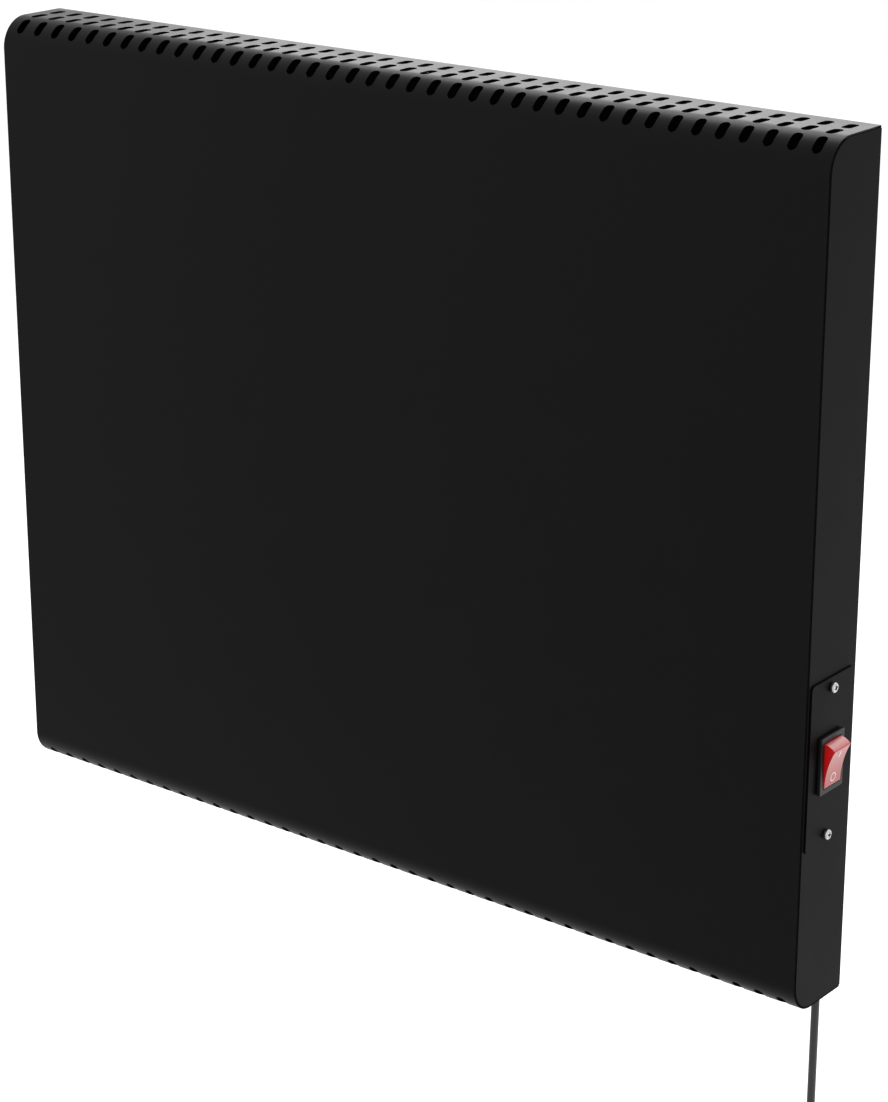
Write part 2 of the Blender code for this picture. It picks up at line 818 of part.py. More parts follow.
# Thermal cut-out on an angle bracket above the element
cutout_x = element_long / 2 - CUTOUT_IN + CUTOUT_BRACKET_WIDE / 2
cutout_z = ELEMENT_Z + CUTOUT_RISE
cutout_angle = [
    (0.0, 0.0),
    (-CUTOUT_ARM - 2 * CUTOUT_R, 0.0),
    (-CUTOUT_ARM - 2 * CUTOUT_R, SUPPORT_SHEET),
    (-SUPPORT_SHEET, SUPPORT_SHEET),
    (-SUPPORT_SHEET, CUTOUT_FOOT),
    (0.0, CUTOUT_FOOT),
]
flat(
    "cutout_bracket",
    [cutout_angle],
    CUTOUT_BRACKET_WIDE,
    ZINC,
    (cutout_x, 0.0, cutout_z),
    FACE_X,
)
cutout_y = -CUTOUT_ARM - CUTOUT_R
turned(
    "thermal_cutout",
    [
        (0.0, CUTOUT_THICK),
        (CUTOUT_R * 0.55, CUTOUT_THICK),
        (CUTOUT_R * 0.62, CUTOUT_THICK * 0.6),
        (CUTOUT_R, CUTOUT_THICK * 0.6),
        (CUTOUT_R, 0.0),
        (0.0, 0.0),
    ],
    BLACK_PLASTIC,
    (cutout_x, cutout_y, cutout_z + SUPPORT_SHEET + GAP),
    steps=16,
)

# Terminal block on the back panel, with a clamp hole for each core
block_x = WIDTH / 2 - BLOCK_END
block_y = -BLOCK_DEEP / 2
terminal_block = add(
    "terminal_block",
    block_mesh("terminal_block", (BLOCK_WIDE, BLOCK_DEEP, BLOCK_TALL)),
    WHITE_PLASTIC,
    (block_x, block_y, BLOCK_Z),
)
bevel(terminal_block, 0.0008, 1)
clamp_hole = cylinder_mesh("clamp_hole", BLOCK_HOLE_R, 0.008, 8)
core_x = [block_x + k * BLOCK_HOLE_PITCH for k in (-1, 0, 1)]
for line, x in zip(("earth", "neutral", "live"), core_x):
    hole = add_cutter(
        "clamp_hole_" + line, clamp_hole, (x, -BLOCK_DEEP, BLOCK_Z), (math.pi / 2, 0.0, 0.0)
    )
    cut(terminal_block, hole)

# Earth stud with its nut, on the back panel beside the block
stud_x = block_x - STUD_SPACING
nut_from = STUD_LENGTH * 0.35
turned(
    "earth_stud",
    [
        (0.0, STUD_LENGTH),
        (STUD_R, STUD_LENGTH),
        (STUD_R, nut_from + STUD_R * 1.6),
        (STUD_NUT_R, nut_from + STUD_R * 1.6),
        (STUD_NUT_R, nut_from),
        (STUD_R, nut_from),
        (STUD_R, 0.0),
        (0.0, 0.0),
    ],
    BRASS,
    (stud_x, 0.0, BLOCK_Z),
    (math.pi / 2, 0.0, 0.0),
    6,
)

# Bushing that grips the cord in the underside
bush_top = SHEET + GAP + BUSH_HEAD
bush_low = -GAP - BUSH_HEAD - BUSH_NOSE
turned(
    "cord_bushing",
    [
        (0.0, bush_top),
        (BUSH_COLLAR_R - 0.0006, bush_top),
        (BUSH_COLLAR_R, bush_top - 0.0008),
        (BUSH_COLLAR_R, SHEET + GAP),
        (BUSH_NECK_R, SHEET + GAP),
        (BUSH_NECK_R, -GAP),
        (BUSH_HEAD_R, -GAP),
        (BUSH_HEAD_R, -GAP - BUSH_HEAD + 0.0008),
        (BUSH_HEAD_R - 0.0008, -GAP - BUSH_HEAD),
        (BUSH_NOSE_R, -GAP - BUSH_HEAD),
        (CORD_R + 0.0006, bush_low),
        (0.0, bush_low),
    ],
    BLACK_PLASTIC,
    (cord_x, CORD_Y, 0.0),
    steps=12,
)

# Wiring inside the right end
block_right = block_x + BLOCK_WIDE / 2
block_left = block_x - BLOCK_WIDE / 2
block_high = BLOCK_Z + BLOCK_TALL / 2
in_y = CORD_Y
inner_cord = [
    (cord_x, CORD_Y, bush_top + GAP),
    (cord_x, CORD_Y, bush_top + GAP + 2 * CORD_R),
    (cord_x, in_y, BLOCK_Z - 2 * WIRE_BEND),
    (cord_x - WIRE_BEND / 2, in_y, BLOCK_Z - WIRE_BEND / 2),
    (block_right + 2 * CORD_R, in_y, BLOCK_Z),
    (block_right + GAP, in_y, BLOCK_Z),
]
tube("inner_cord", smooth_route(inner_cord, 12), CORD_R, CORD_SHEATH)

wire_top = block_high + GAP
tab_back = tab_x - TAB_LENGTH / 2 - GAP
up_rear = tab_place["upper", "rear"]
up_front = tab_place["upper", "front"]
low_rear = tab_place["lower", "rear"]
low_front = tab_place["lower", "front"]
behind = support_in + SUPPORT_FOOT + 3 * WIRE_R
pass_by = INSULATOR_FLANGE_R + 3 * WIRE_R
live_in = [
    (core_x[2], block_y, wire_top),
    (core_x[2], block_y, wire_top + WIRE_BEND),
    (behind + WIRE_BEND, block_y, ELEMENT_Z - pass_by),
    (behind + WIRE_BEND, block_y - WIRE_STUB, ELEMENT_Z + 2 * pass_by),
    (tab_back - WIRE_BEND - WIRE_R, low_rear[1], low_rear[2] - WIRE_BEND),
    (tab_back - WIRE_STUB, low_rear[1], low_rear[2]),
    (tab_back, low_rear[1], low_rear[2]),
]
tube("wire_live_in", smooth_route(live_in, 16), WIRE_R, BROWN_WIRE)
neutral_in = [
    (core_x[1], block_y, wire_top),
    (core_x[1], block_y, wire_top + WIRE_BEND),
    (behind, block_y + WIRE_BEND / 2, ELEMENT_Z - 2 * WIRE_BEND),
    (behind, block_y + WIRE_BEND / 2, ELEMENT_Z + 5 * WIRE_BEND),
    (tab_back - 2 * WIRE_BEND, up_rear[1] + WIRE_STUB, up_rear[2] - 2 * WIRE_BEND - 2 * WIRE_R),
    (tab_back - WIRE_BEND - WIRE_R, up_rear[1], up_rear[2]),
    (tab_back, up_rear[1], up_rear[2]),
]
tube("wire_neutral_in", smooth_route(neutral_in, 18), WIRE_R, BLUE_WIRE)

ceramic_end = support_in + INSULATOR_LENGTH + GAP
cutout_top = cutout_z + SUPPORT_SHEET + GAP + CUTOUT_THICK + GAP
pair = INSULATOR_R * 0.4
live_out = [
    (tab_back, low_front[1], low_front[2]),
    (tab_back - WIRE_STUB, low_front[1], low_front[2]),
    (tab_back - WIRE_BEND, low_front[1], low_front[2] + 2 * WIRE_BEND),
    (cutout_x + WIRE_BEND, cutout_y, cutout_top + 2 * WIRE_BEND + WIRE_R),
    (cutout_x + pair, cutout_y, cutout_top + WIRE_BEND),
    (cutout_x + pair, cutout_y, cutout_top),
]
tube("wire_live_out", smooth_route(live_out, 16), WIRE_R, BROWN_WIRE)
feed_y = -2 * WIRE_BEND
element_feed = [
    (cutout_x - pair, cutout_y, cutout_top),
    (cutout_x - pair, cutout_y, cutout_top + WIRE_BEND - WIRE_R),
    (cutout_x + WIRE_BEND / 2, cutout_y + CUTOUT_R + WIRE_STUB, cutout_top + WIRE_BEND - WIRE_R),
    (cutout_x + CUTOUT_BRACKET_WIDE / 2 + WIRE_BEND, feed_y, cutout_z + 2 * WIRE_R),
    (ceramic_end, feed_y, cutout_z - 2 * pass_by),
    (ceramic_end + WIRE_BEND + 2 * WIRE_R, ELEMENT_Y + INSULATOR_FLANGE_R, ELEMENT_Z + pass_by),
    (ceramic_end + WIRE_STUB, ELEMENT_Y + pair, ELEMENT_Z),
    (ceramic_end, ELEMENT_Y + pair, ELEMENT_Z),
]
tube("wire_element_feed", smooth_route(element_feed, 22), WIRE_R, BROWN_WIRE)
neutral_out = [
    (tab_back, up_front[1], up_front[2]),
    (tab_back - WIRE_STUB, up_front[1], up_front[2]),
    (tab_back - WIRE_BEND - WIRE_R, up_front[1] - WIRE_BEND - WIRE_R, up_front[2] - 2 * WIRE_R),
    (tab_back - WIRE_BEND, -DEPTH + WIRE_BEND, up_front[2] - 2 * WIRE_BEND),
    (ceramic_end + WIRE_STUB, -DEPTH + WIRE_BEND, ELEMENT_Z + 5 * WIRE_BEND),
    (ceramic_end + WIRE_BEND + WIRE_STUB, ELEMENT_Y - pass_by, ELEMENT_Z + INSULATOR_FLANGE_R),
    (ceramic_end + WIRE_STUB, ELEMENT_Y - pair, ELEMENT_Z),
    (ceramic_end, ELEMENT_Y - pair, ELEMENT_Z),
]
tube("wire_neutral_out", smooth_route(neutral_out, 24), WIRE_R, BLUE_WIRE)
earth = [
    (block_left - GAP, block_y, BLOCK_Z),
    (block_left - WIRE_STUB, block_y, BLOCK_Z),
    (stud_x + STUD_NUT_R + WIRE_STUB, -nut_from - STUD_R * 0.8, BLOCK_Z),
    (stud_x + STUD_NUT_R + GAP, -nut_from - STUD_R * 0.8, BLOCK_Z),
]
tube("wire_earth", smooth_route(earth, 7), WIRE_R, EARTH_WIRE)

# Wall bracket: a flat web on the wall, a shelf and an upright lip for the hooks
bracket_half = BRACKET_TALL / 2


def z_section(sheet, rise, reach, lip):
    return [
        (0.0, -rise),
        (0.0, rise),
        (-reach + sheet, rise),
        (-reach + sheet, rise + lip),
        (-reach, rise + lip),
        (-reach, rise - sheet),
        (-sheet, rise - sheet),
        (-sheet, -rise),
    ]


wall_bracket = flat(
    "wall_bracket",
    [z_section(BRACKET_SHEET, bracket_half, BRACKET_REACH, BRACKET_LIP)],
    BRACKET_WIDE,
    ZINC,
    (0.0, 0.0, 0.0),
    FACE_X,
    None,
)
wall_bracket = as_mesh(wall_bracket)
fixing_hole = cylinder_mesh("fixing_hole", BRACKET_HOLE_R, 0.01, 12)
for side, mark in ((-1, "left"), (1, "right")):
    place = (side * (BRACKET_WIDE / 2 - BRACKET_HOLE_END), 0.0, 0.0)
    hole = add_cutter("fixing_hole_" + mark, fixing_hole, place, (math.pi / 2, 0.0, 0.0), None)
    cut(wall_bracket, hole)

# Hooks on the back panel: a flange, an arm over the bracket's lip and a drop behind it
lip_top = bracket_half + BRACKET_LIP
flange_front = -WALL_GAP + back_out + GAP
flange_back = flange_front + HOOK_SHEET
drop_front = -BRACKET_REACH + BRACKET_SHEET + GAP
drop_back = drop_front + HOOK_SHEET
arm_low = lip_top + GAP
arm_high = arm_low + HOOK_SHEET
hook_section = [
    (flange_front, arm_low - HOOK_FLANGE),
    (flange_back, arm_low - HOOK_FLANGE),
    (flange_back, arm_low),
    (drop_front, arm_low),
    (drop_front, arm_low - HOOK_DROP),
    (drop_back, arm_low - HOOK_DROP),
    (drop_back, arm_high),
    (flange_front, arm_high),
]
rivet_out = flange_back + GAP
for side, mark in ((-1, "left"), (1, "right")):
    x = side * (BRACKET_WIDE / 2 - HOOK_END)
    flat("hook_" + mark, [hook_section], HOOK_WIDE, ZINC, (x, 0.0, 0.0), FACE_X, None)
    for k, spot in ((-1, "outer"), (1, "inner")):
        turned(
            "hook_rivet_%s_%s" % (mark, spot),
            [
                (0.0, RIVET_HEAD_H),
                (RIVET_HEAD_R * 0.6, RIVET_HEAD_H * 0.85),
                (RIVET_HEAD_R, 0.0),
                (0.0, 0.0),
            ],
            ALUMINIUM,
            (x - k * side * HOOK_WIDE * 0.28, rivet_out, arm_low - HOOK_FLANGE * 0.62),
            (-math.pi / 2, 0.0, 0.0),
            12,
            None,
        )

# Spacers that keep the lower edge as far from the wall as the bracket keeps the upper one
spacer_long = WALL_GAP - back_out - GAP
for side, mark in ((-1, "left"), (1, "right")):
    turned(
        "wall_spacer_" + mark,
        [
            (0.0, spacer_long),
            (SPACER_R * 0.85, spacer_long),
            (SPACER_R * 0.95, spacer_long * 0.9),
            (SPACER_R, 0.0),
            (0.0, 0.0),
        ],
        BLACK_PLASTIC,
        (side * (WIDTH / 2 - SPACER_END), back_out + GAP, SPACER_Z),
        (-math.pi / 2, 0.0, 0.0),
        16,
    )

# Cord: a straight fall from the bushing into the hank
fold_mean = HANK_HALF - HANK_STEP / 4
hank_z = HANK_TOP - CORD_R - fold_mean - HANK_RUN / 2
hank_x = cord_x - HANK_HALF
run_top = hank_z + HANK_RUN / 2
run_low = hank_z - HANK_RUN / 2
hank_start = run_top + 2 * CORD_R
cord_start = bush_low - GAP
cord_run = [
    (cord_x, CORD_Y, cord_start + (hank_start + GAP - cord_start) * k / 8) for k in range(9)
]
tube("cord_run", cord_run, CORD_R, CORD_SHEATH)


# Hank: the cord spirals in, climbs to a second layer along the innermost run and spirals out
def hank_points():
    half_folds = HANK_FOLDS // 2
    reach = [HANK_HALF - HANK_STEP / 2 * min(j, HANK_FOLDS - j) for j in range(HANK_FOLDS + 1)]
    points = [(cord_x, CORD_Y, hank_start)]
    for j in range(HANK_FOLDS + 1):
        side = 1 if j % 2 == 0 else -1
        for k in range(6):
            t = k / 5
            level = 0.0 if j < half_folds else 1.0
            if j == half_folds:
                level = t * t * (3 - 2 * t)
            drawn = reach[j] - HANK_WAIST * math.sin(math.pi * t) ** 2
            z = run_top - t * HANK_RUN if side == 1 else run_low + t * HANK_RUN
            points.append((hank_x + side * drawn, CORD_Y - level * HANK_STEP, z))
        if j == HANK_FOLDS:
            break
        mean = (reach[j] + reach[j + 1]) / 2
        centre = hank_x + side * (reach[j] - reach[j + 1]) / 2
        level = 0.0 if j < half_folds else 1.0
        for k in range(1, 7):
            a = math.pi * k / 7
            across = side * mean * math.cos(a)
            down = -side * mean * math.sin(a)
            base = run_low if side == 1 else run_top
            points.append((centre + across, CORD_Y - level * HANK_STEP, base + down))
    points.append((cord_x, CORD_Y - HANK_STEP, run_low - 2 * CORD_R))
    return points


def least_gap(points):
    marks = []
    for one, two in zip(points, points[1:]):
        for k in range(4):
            marks.append(Vector(one).lerp(Vector(two), k / 4))
    run = [0.0]
    for one, two in zip(marks, marks[1:]):
        run.append(run[-1] + (two - one).length)
    least = 1.0
    for i, one in enumerate(marks):
        for j in range(i + 1, len(marks)):
            if run[j] - run[i] > 10 * CORD_R:
                least = min(least, (one - marks[j]).length)
    return least - 2 * CORD_R, run[-1]


hank = hank_points()
gap_found, hank_long = least_gap(hank)
print("hank: length %.3f m, least gap to itself %.2f mm" % (hank_long, gap_found * 1000))
tube("cord_hank", hank, CORD_R, CORD_SHEATH, 1)

# Tie round the waist of the hank
tie_clear = CORD_R + 2 * GAP
tie_wide = 2 * (HANK_HALF - HANK_WAIST + tie_clear)
tie_deep = HANK_STEP + 2 * tie_clear
tie_corner = tie_clear
flat(
    "cord_tie",
    [
        rounded_box(tie_wide + 2 * TIE_WALL, tie_deep + 2 * TIE_WALL, tie_corner + TIE_WALL, 4),
        rounded_box(tie_wide, tie_deep, tie_corner, 4),
    ],
    TIE_TALL,
    BLACK_PLASTIC,
    (hank_x, CORD_Y - HANK_STEP / 2, hank_z),
)

# Tail and plug, hanging below the hank
tail_y = CORD_Y - HANK_STEP
tail_top = run_low - 2 * CORD_R - GAP
plug_top = run_low - HANK_HALF - CORD_R - TAIL_CLEAR
tail = [(cord_x, tail_y, tail_top + (plug_top + GAP - tail_top) * k / 3) for k in range(4)]
tube("cord_tail", tail, CORD_R, CORD_SHEATH)
face_top = plug_top - PLUG_SLEEVE - PLUG_GRIP
face_low = face_top - PLUG_FACE
turned(
    "plug_body",
    [
        (0.0, plug_top),
        (CORD_R + 0.0009, plug_top),
        (CORD_R + 0.0024, plug_top - PLUG_SLEEVE),
        (PLUG_GRIP_R * 0.75, plug_top - PLUG_SLEEVE - 0.003),
        (PLUG_GRIP_R, plug_top - PLUG_SLEEVE - 0.008),
        (PLUG_GRIP_R, face_top + 0.004),
        (PLUG_FACE_R - 0.001, face_top),
        (PLUG_FACE_R, face_top - 0.002),
        (PLUG_FACE_R, face_low + 0.001),
        (PLUG_FACE_R - 0.001, face_low),
        (0.0, face_low),
    ],
    BLACK_PLASTIC,
    (cord_x, tail_y, 0.0),
    steps=24,
)
for side, mark in ((-1, "left"), (1, "right")):
    turned(
        "plug_pin_" + mark,
        [
            (0.0, -GAP),
            (PIN_R, -GAP),
            (PIN_R, -PIN_LENGTH + PIN_R),
            (PIN_R * 0.6, -PIN_LENGTH),
            (0.0, -PIN_LENGTH),
        ],
        ZINC,
        (cord_x + side * PIN_SPACING / 2, tail_y, face_low),
        steps=12,
    )

cord_total = cord_start - hank_start + hank_long + tail_top - plug_top
print("cord: %.3f m from the bushing to the plug" % cord_total)
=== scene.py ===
# %% [markdown]
# # A wall panel heater, dressed
# The steel, plastic and wire of this heater come from a model in solids, loaded below as a fixed
# frame. This script gives every piece its finish, and rebuilds the pieces whose edges, folds and
# marks show in a picture: the slotted cover, the end plates, the switch, the screws and the cord.
# Lengths are in metres. The wall is the plane y = 0 and the room is towards -Y.

# %% Load the frame
import json
import math

import bmesh
import bpy
from mathutils import Matrix, Vector

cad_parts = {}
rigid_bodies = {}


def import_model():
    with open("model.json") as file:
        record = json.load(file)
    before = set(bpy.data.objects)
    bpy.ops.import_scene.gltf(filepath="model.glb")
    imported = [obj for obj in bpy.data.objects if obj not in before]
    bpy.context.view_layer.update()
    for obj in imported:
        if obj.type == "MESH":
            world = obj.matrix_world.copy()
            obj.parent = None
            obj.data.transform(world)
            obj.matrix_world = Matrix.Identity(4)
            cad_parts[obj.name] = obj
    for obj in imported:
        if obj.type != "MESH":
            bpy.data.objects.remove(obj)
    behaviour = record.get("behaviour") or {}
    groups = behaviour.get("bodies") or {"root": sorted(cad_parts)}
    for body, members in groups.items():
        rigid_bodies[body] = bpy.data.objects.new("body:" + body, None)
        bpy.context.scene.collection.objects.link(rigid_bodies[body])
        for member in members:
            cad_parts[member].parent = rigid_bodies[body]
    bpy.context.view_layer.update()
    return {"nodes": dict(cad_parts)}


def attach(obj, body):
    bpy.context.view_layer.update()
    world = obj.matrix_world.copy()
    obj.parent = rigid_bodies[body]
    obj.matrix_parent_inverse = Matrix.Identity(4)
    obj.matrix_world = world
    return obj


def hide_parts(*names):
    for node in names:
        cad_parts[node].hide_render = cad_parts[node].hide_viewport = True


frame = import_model()
scene = bpy.context.scene
scene.view_settings.view_transform = "Standard"

# %% [markdown]
# ## Where things are
# The cover's own frame has y = 0 at its back edges and z = 0 at its underside. It hangs 15 mm off
# the wall and 410 mm below the bracket, so one small helper turns cover places into world places.

# %% The cover's frame
WALL_GAP, BRACKET_HEIGHT = 0.015, 0.410
WIDTH, HEIGHT, DEPTH = 0.600, 0.500, 0.050


def at(x, y, z):
    return Vector((x, y - WALL_GAP, z - BRACKET_HEIGHT))


print("underside at z = %.3f m" % at(0, 0, 0).z)

# %% [markdown]
# ## Camera
# A long lens stands a little above the heater and to its right. Its place was solved from the
# cover's straight edges and the 40 slots of each row, with the middle of the picture on the lens's
# axis. A picture gives proportions only, so the heater's real size is an assumption here.

# %% Camera
LENS_PIXELS, FRAME_TALL = 3006.86, 1102
YAW, PITCH, ROLL = math.radians(38.128), math.radians(19.492), math.radians(0.029)
camera_data = bpy.data.cameras.new("camera")
camera = bpy.data.objects.new("camera", camera_data)
scene.collection.objects.link(camera)
camera_data.sensor_width = 36.0
camera_data.lens = 36.0 * LENS_PIXELS / FRAME_TALL
camera_data.clip_start, camera_data.clip_end = 0.05, 60.0
ahead = Vector((-math.sin(YAW) * math.cos(PITCH), math.cos(YAW) * math.cos(PITCH), -math.sin(PITCH)))
aside = Vector((math.cos(YAW), math.sin(YAW), 0.0))
above = aside.cross(ahead)
right = math.cos(ROLL) * aside + math.sin(ROLL) * above
up = -math.sin(ROLL) * aside + math.cos(ROLL) * above
turn = Matrix((right, up, -ahead)).transposed().to_4x4()
camera.matrix_world = Matrix.Translation(at(1.07519, -1.35582, 0.81223)) @ turn
scene.camera = camera
distance = (camera.location - at(0, -0.05, 0.25)).length
print("lens %.1f mm, %.2f m from the cover" % (camera_data.lens, distance))

# %% [markdown]
# ## Room and light
# The heater hangs in a plain white studio, over a pale floor well below the plug. The world is white
# to the camera and to every reflection, and a little weaker as a light on matt surfaces. Black paint
# shows such a room only as a faint veil that grows towards its edges. The floor glows to the camera
# and in reflections: behind the heater it is the picture's white background, and in front of it, where
# the lower part of the front mirrors it, the glow is weak. Three soft boxes stand behind the heater. A
# large one to the left draws the bright top, one above it carries the light down over the bend, and a
# smaller one to the right lights the top's right part. All of this suits the view from the front right.
# From straight left or right the end plates have nothing bright to mirror and look almost black.

# %% White to the camera and in reflections


def math_node(tree, operation, one, two=None, three=None, clamp=False):
    node = tree.nodes.new("ShaderNodeMath")
    node.operation = operation
    node.use_clamp = clamp
    for socket, value in zip(node.inputs, (one, two, three)):
        if value is None:
            continue
        if isinstance(value, (int, float)):
            socket.default_value = value
        else:
            tree.links.new(value, socket)
    return node.outputs[0]


def seen_or_mirrored(tree):
    """1 for a ray from the camera, a reflection or glass, and 0 for the light on a matt surface."""
    path = tree.nodes.new("ShaderNodeLightPath").outputs
    either = math_node(tree, "MAXIMUM", path["Is Camera Ray"], path["Is Glossy Ray"])
    return math_node(tree, "MAXIMUM", either, path["Is Transmission Ray"])


def mix_by_path(tree, matt, shown, surface):
    choose = tree.nodes.new("ShaderNodeMixShader")
    tree.links.new(seen_or_mirrored(tree), choose.inputs["Fac"])
    tree.links.new(matt, choose.inputs[1])
    tree.links.new(shown, choose.inputs[2])
    tree.links.new(choose.outputs[0], surface)


# %% World and floor
world = bpy.data.worlds.new("studio")
scene.world = world
world.use_nodes = True
tree = world.node_tree
tree.nodes.clear()
out = tree.nodes.new("ShaderNodeOutputWorld")
lights = []
for strength in (0.85, 1.0):
    white = tree.nodes.new("ShaderNodeBackground")
    white.inputs["Color"].default_value = (1.0, 1.0, 1.0, 1.0)
    white.inputs["Strength"].default_value = strength
    lights.append(white.outputs[0])
mix_by_path(tree, *lights, out.inputs["Surface"])

floor_mesh = bpy.data.meshes.new("floor")
floor_mesh.from_pydata([(-6, -6, 0), (6, -6, 0), (6, 6, 0), (-6, 6, 0)], [], [(0, 1, 2, 3)])
floor = bpy.data.objects.new("floor", floor_mesh)
floor.location = (0.0, 0.0, -1.10)
scene.collection.objects.link(floor)
floor_look = bpy.data.materials.new("pale_floor")
floor_look.use_nodes = True
tree = floor_look.node_tree
paint = tree.nodes["Principled BSDF"]
paint.inputs["Base Color"].default_value = (0.72, 0.72, 0.72, 1.0)
paint.inputs["Roughness"].default_value = 0.9
glow = tree.nodes.new("ShaderNodeEmission")
glow.inputs["Color"].default_value = (1.0, 1.0, 1.0, 1.0)
ground = tree.nodes.new("ShaderNodeTexCoord")
depth = tree.nodes.new("ShaderNodeSeparateXYZ")
sweep = tree.nodes.new("ShaderNodeMapRange")
# the glow grows with the distance from a line on the floor 1.6 m in front of the wall
for label, value in (("From Min", 1.0), ("From Max", 2.2), ("To Min", 0.0), ("To Max", 0.44)):
    sweep.inputs[label].default_value = value
tree.links.new(ground.outputs["Object"], depth.inputs[0])
away = math_node(tree, "ABSOLUTE", math_node(tree, "ADD", depth.outputs["Y"], 1.6))
tree.links.new(away, sweep.inputs["Value"])
tree.links.new(sweep.outputs["Result"], glow.inputs["Strength"])
bright = tree.nodes.new("ShaderNodeAddShader")
tree.links.new(paint.outputs[0], bright.inputs[0])
tree.links.new(glow.outputs[0], bright.inputs[1])
mix_by_path(tree, paint.outputs[0], bright.outputs[0], tree.nodes["Material Output"].inputs["Surface"])
floor_mesh.materials.append(floor_look)

# %% Lamps


def soft_box(name, place, aim, wide, tall, radiance):
    data = bpy.data.lights.new(name, "AREA")
    data.shape = "RECTANGLE"
    data.size, data.size_y = wide, tall
    data.energy = radiance * math.pi * wide * tall
    lamp = bpy.data.objects.new(name, data)
    scene.collection.objects.link(lamp)
    lamp.location = place
    lamp.rotation_euler = (Vector(aim) - Vector(place)).to_track_quat("-Z", "Y").to_euler()
    return lamp


middle = at(0, -0.025, 0.25)
soft_box("back_box", (-1.52, 2.8, 1.25), middle, 2.2, 1.4, 3.3)
soft_box("high_box", (-0.75, 1.5, 2.2), middle, 2.0, 1.3, 4.2)
soft_box("right_box", (0.4, 2.0, 1.45), middle, 1.3, 1.0, 2.6)

# %% [markdown]
# ## Finishes
# Two shader groups are shared. One gives the slow mottle and fine grain that any coated or moulded
# surface has, and the other gathers a little dust where a surface looks up. Each finish then sets
# its own colour and gloss, and reads object coordinates, so that nothing slides when a piece turns.

# %% Shared shader groups


def make_group(name, inputs, outputs):
    group = bpy.data.node_groups.new(name, "ShaderNodeTree")
    for label, kind, value in inputs:
        socket = group.interface.new_socket(label, in_out="INPUT", socket_type=kind)
        if value is not None:
            socket.default_value = value
    for label, kind in outputs:
        group.interface.new_socket(label, in_out="OUTPUT", socket_type=kind)
    return group, group.nodes.new("NodeGroupInput"), group.nodes.new("NodeGroupOutput")


skin, skin_in, skin_out = make_group(
    "surface_skin",
    [("Vector", "NodeSocketVector", None), ("Grain Size", "NodeSocketFloat", 0.0004),
     ("Mottle Size", "NodeSocketFloat", 0.03)],
    [("Grain", "NodeSocketFloat"), ("Mottle", "NodeSocketFloat")],
)
for label, size, detail in (("Grain", "Grain Size", 1.0), ("Mottle", "Mottle Size", 3.0)):
    noise = skin.nodes.new("ShaderNodeTexNoise")
    noise.inputs["Detail"].default_value = detail
    noise.inputs["Roughness"].default_value = 0.5
    skin.links.new(skin_in.outputs["Vector"], noise.inputs["Vector"])
    skin.links.new(math_node(skin, "DIVIDE", 1.0, skin_in.outputs[size]), noise.inputs["Scale"])
    skin.links.new(noise.outputs["Fac"], skin_out.inputs[label])

dust, dust_in, dust_out = make_group(
    "settled_dust",
    [("Vector", "NodeSocketVector", None), ("Amount", "NodeSocketFloat", 0.1)],
    [("Mask", "NodeSocketFloat")],
)
shape = dust.nodes.new("ShaderNodeNewGeometry")
split = dust.nodes.new("ShaderNodeSeparateXYZ")
dust.links.new(shape.outputs["Normal"], split.inputs[0])
speck = dust.nodes.new("ShaderNodeTexNoise")
speck.inputs["Scale"].default_value = 180.0
speck.inputs["Detail"].default_value = 4.0
dust.links.new(dust_in.outputs["Vector"], speck.inputs["Vector"])
facing = math_node(dust, "MULTIPLY", split.outputs["Z"], 1.0, clamp=True)
patchy = math_node(dust, "MULTIPLY_ADD", speck.outputs["Fac"], 2.4, -0.7, clamp=True)
mask = math_node(dust, "MULTIPLY", math_node(dust, "MULTIPLY", facing, patchy), dust_in.outputs["Amount"])
dust.links.new(mask, dust_out.inputs["Mask"])
print("shader groups:", [g.name for g in bpy.data.node_groups])

# %% [markdown]
# A finish is one function: colour, gloss and how coarse its grain is. The mottle shifts both the
# colour and the gloss a little, the grain drives the bump, and the dust greys what faces up.

# %% A finish from the shared groups


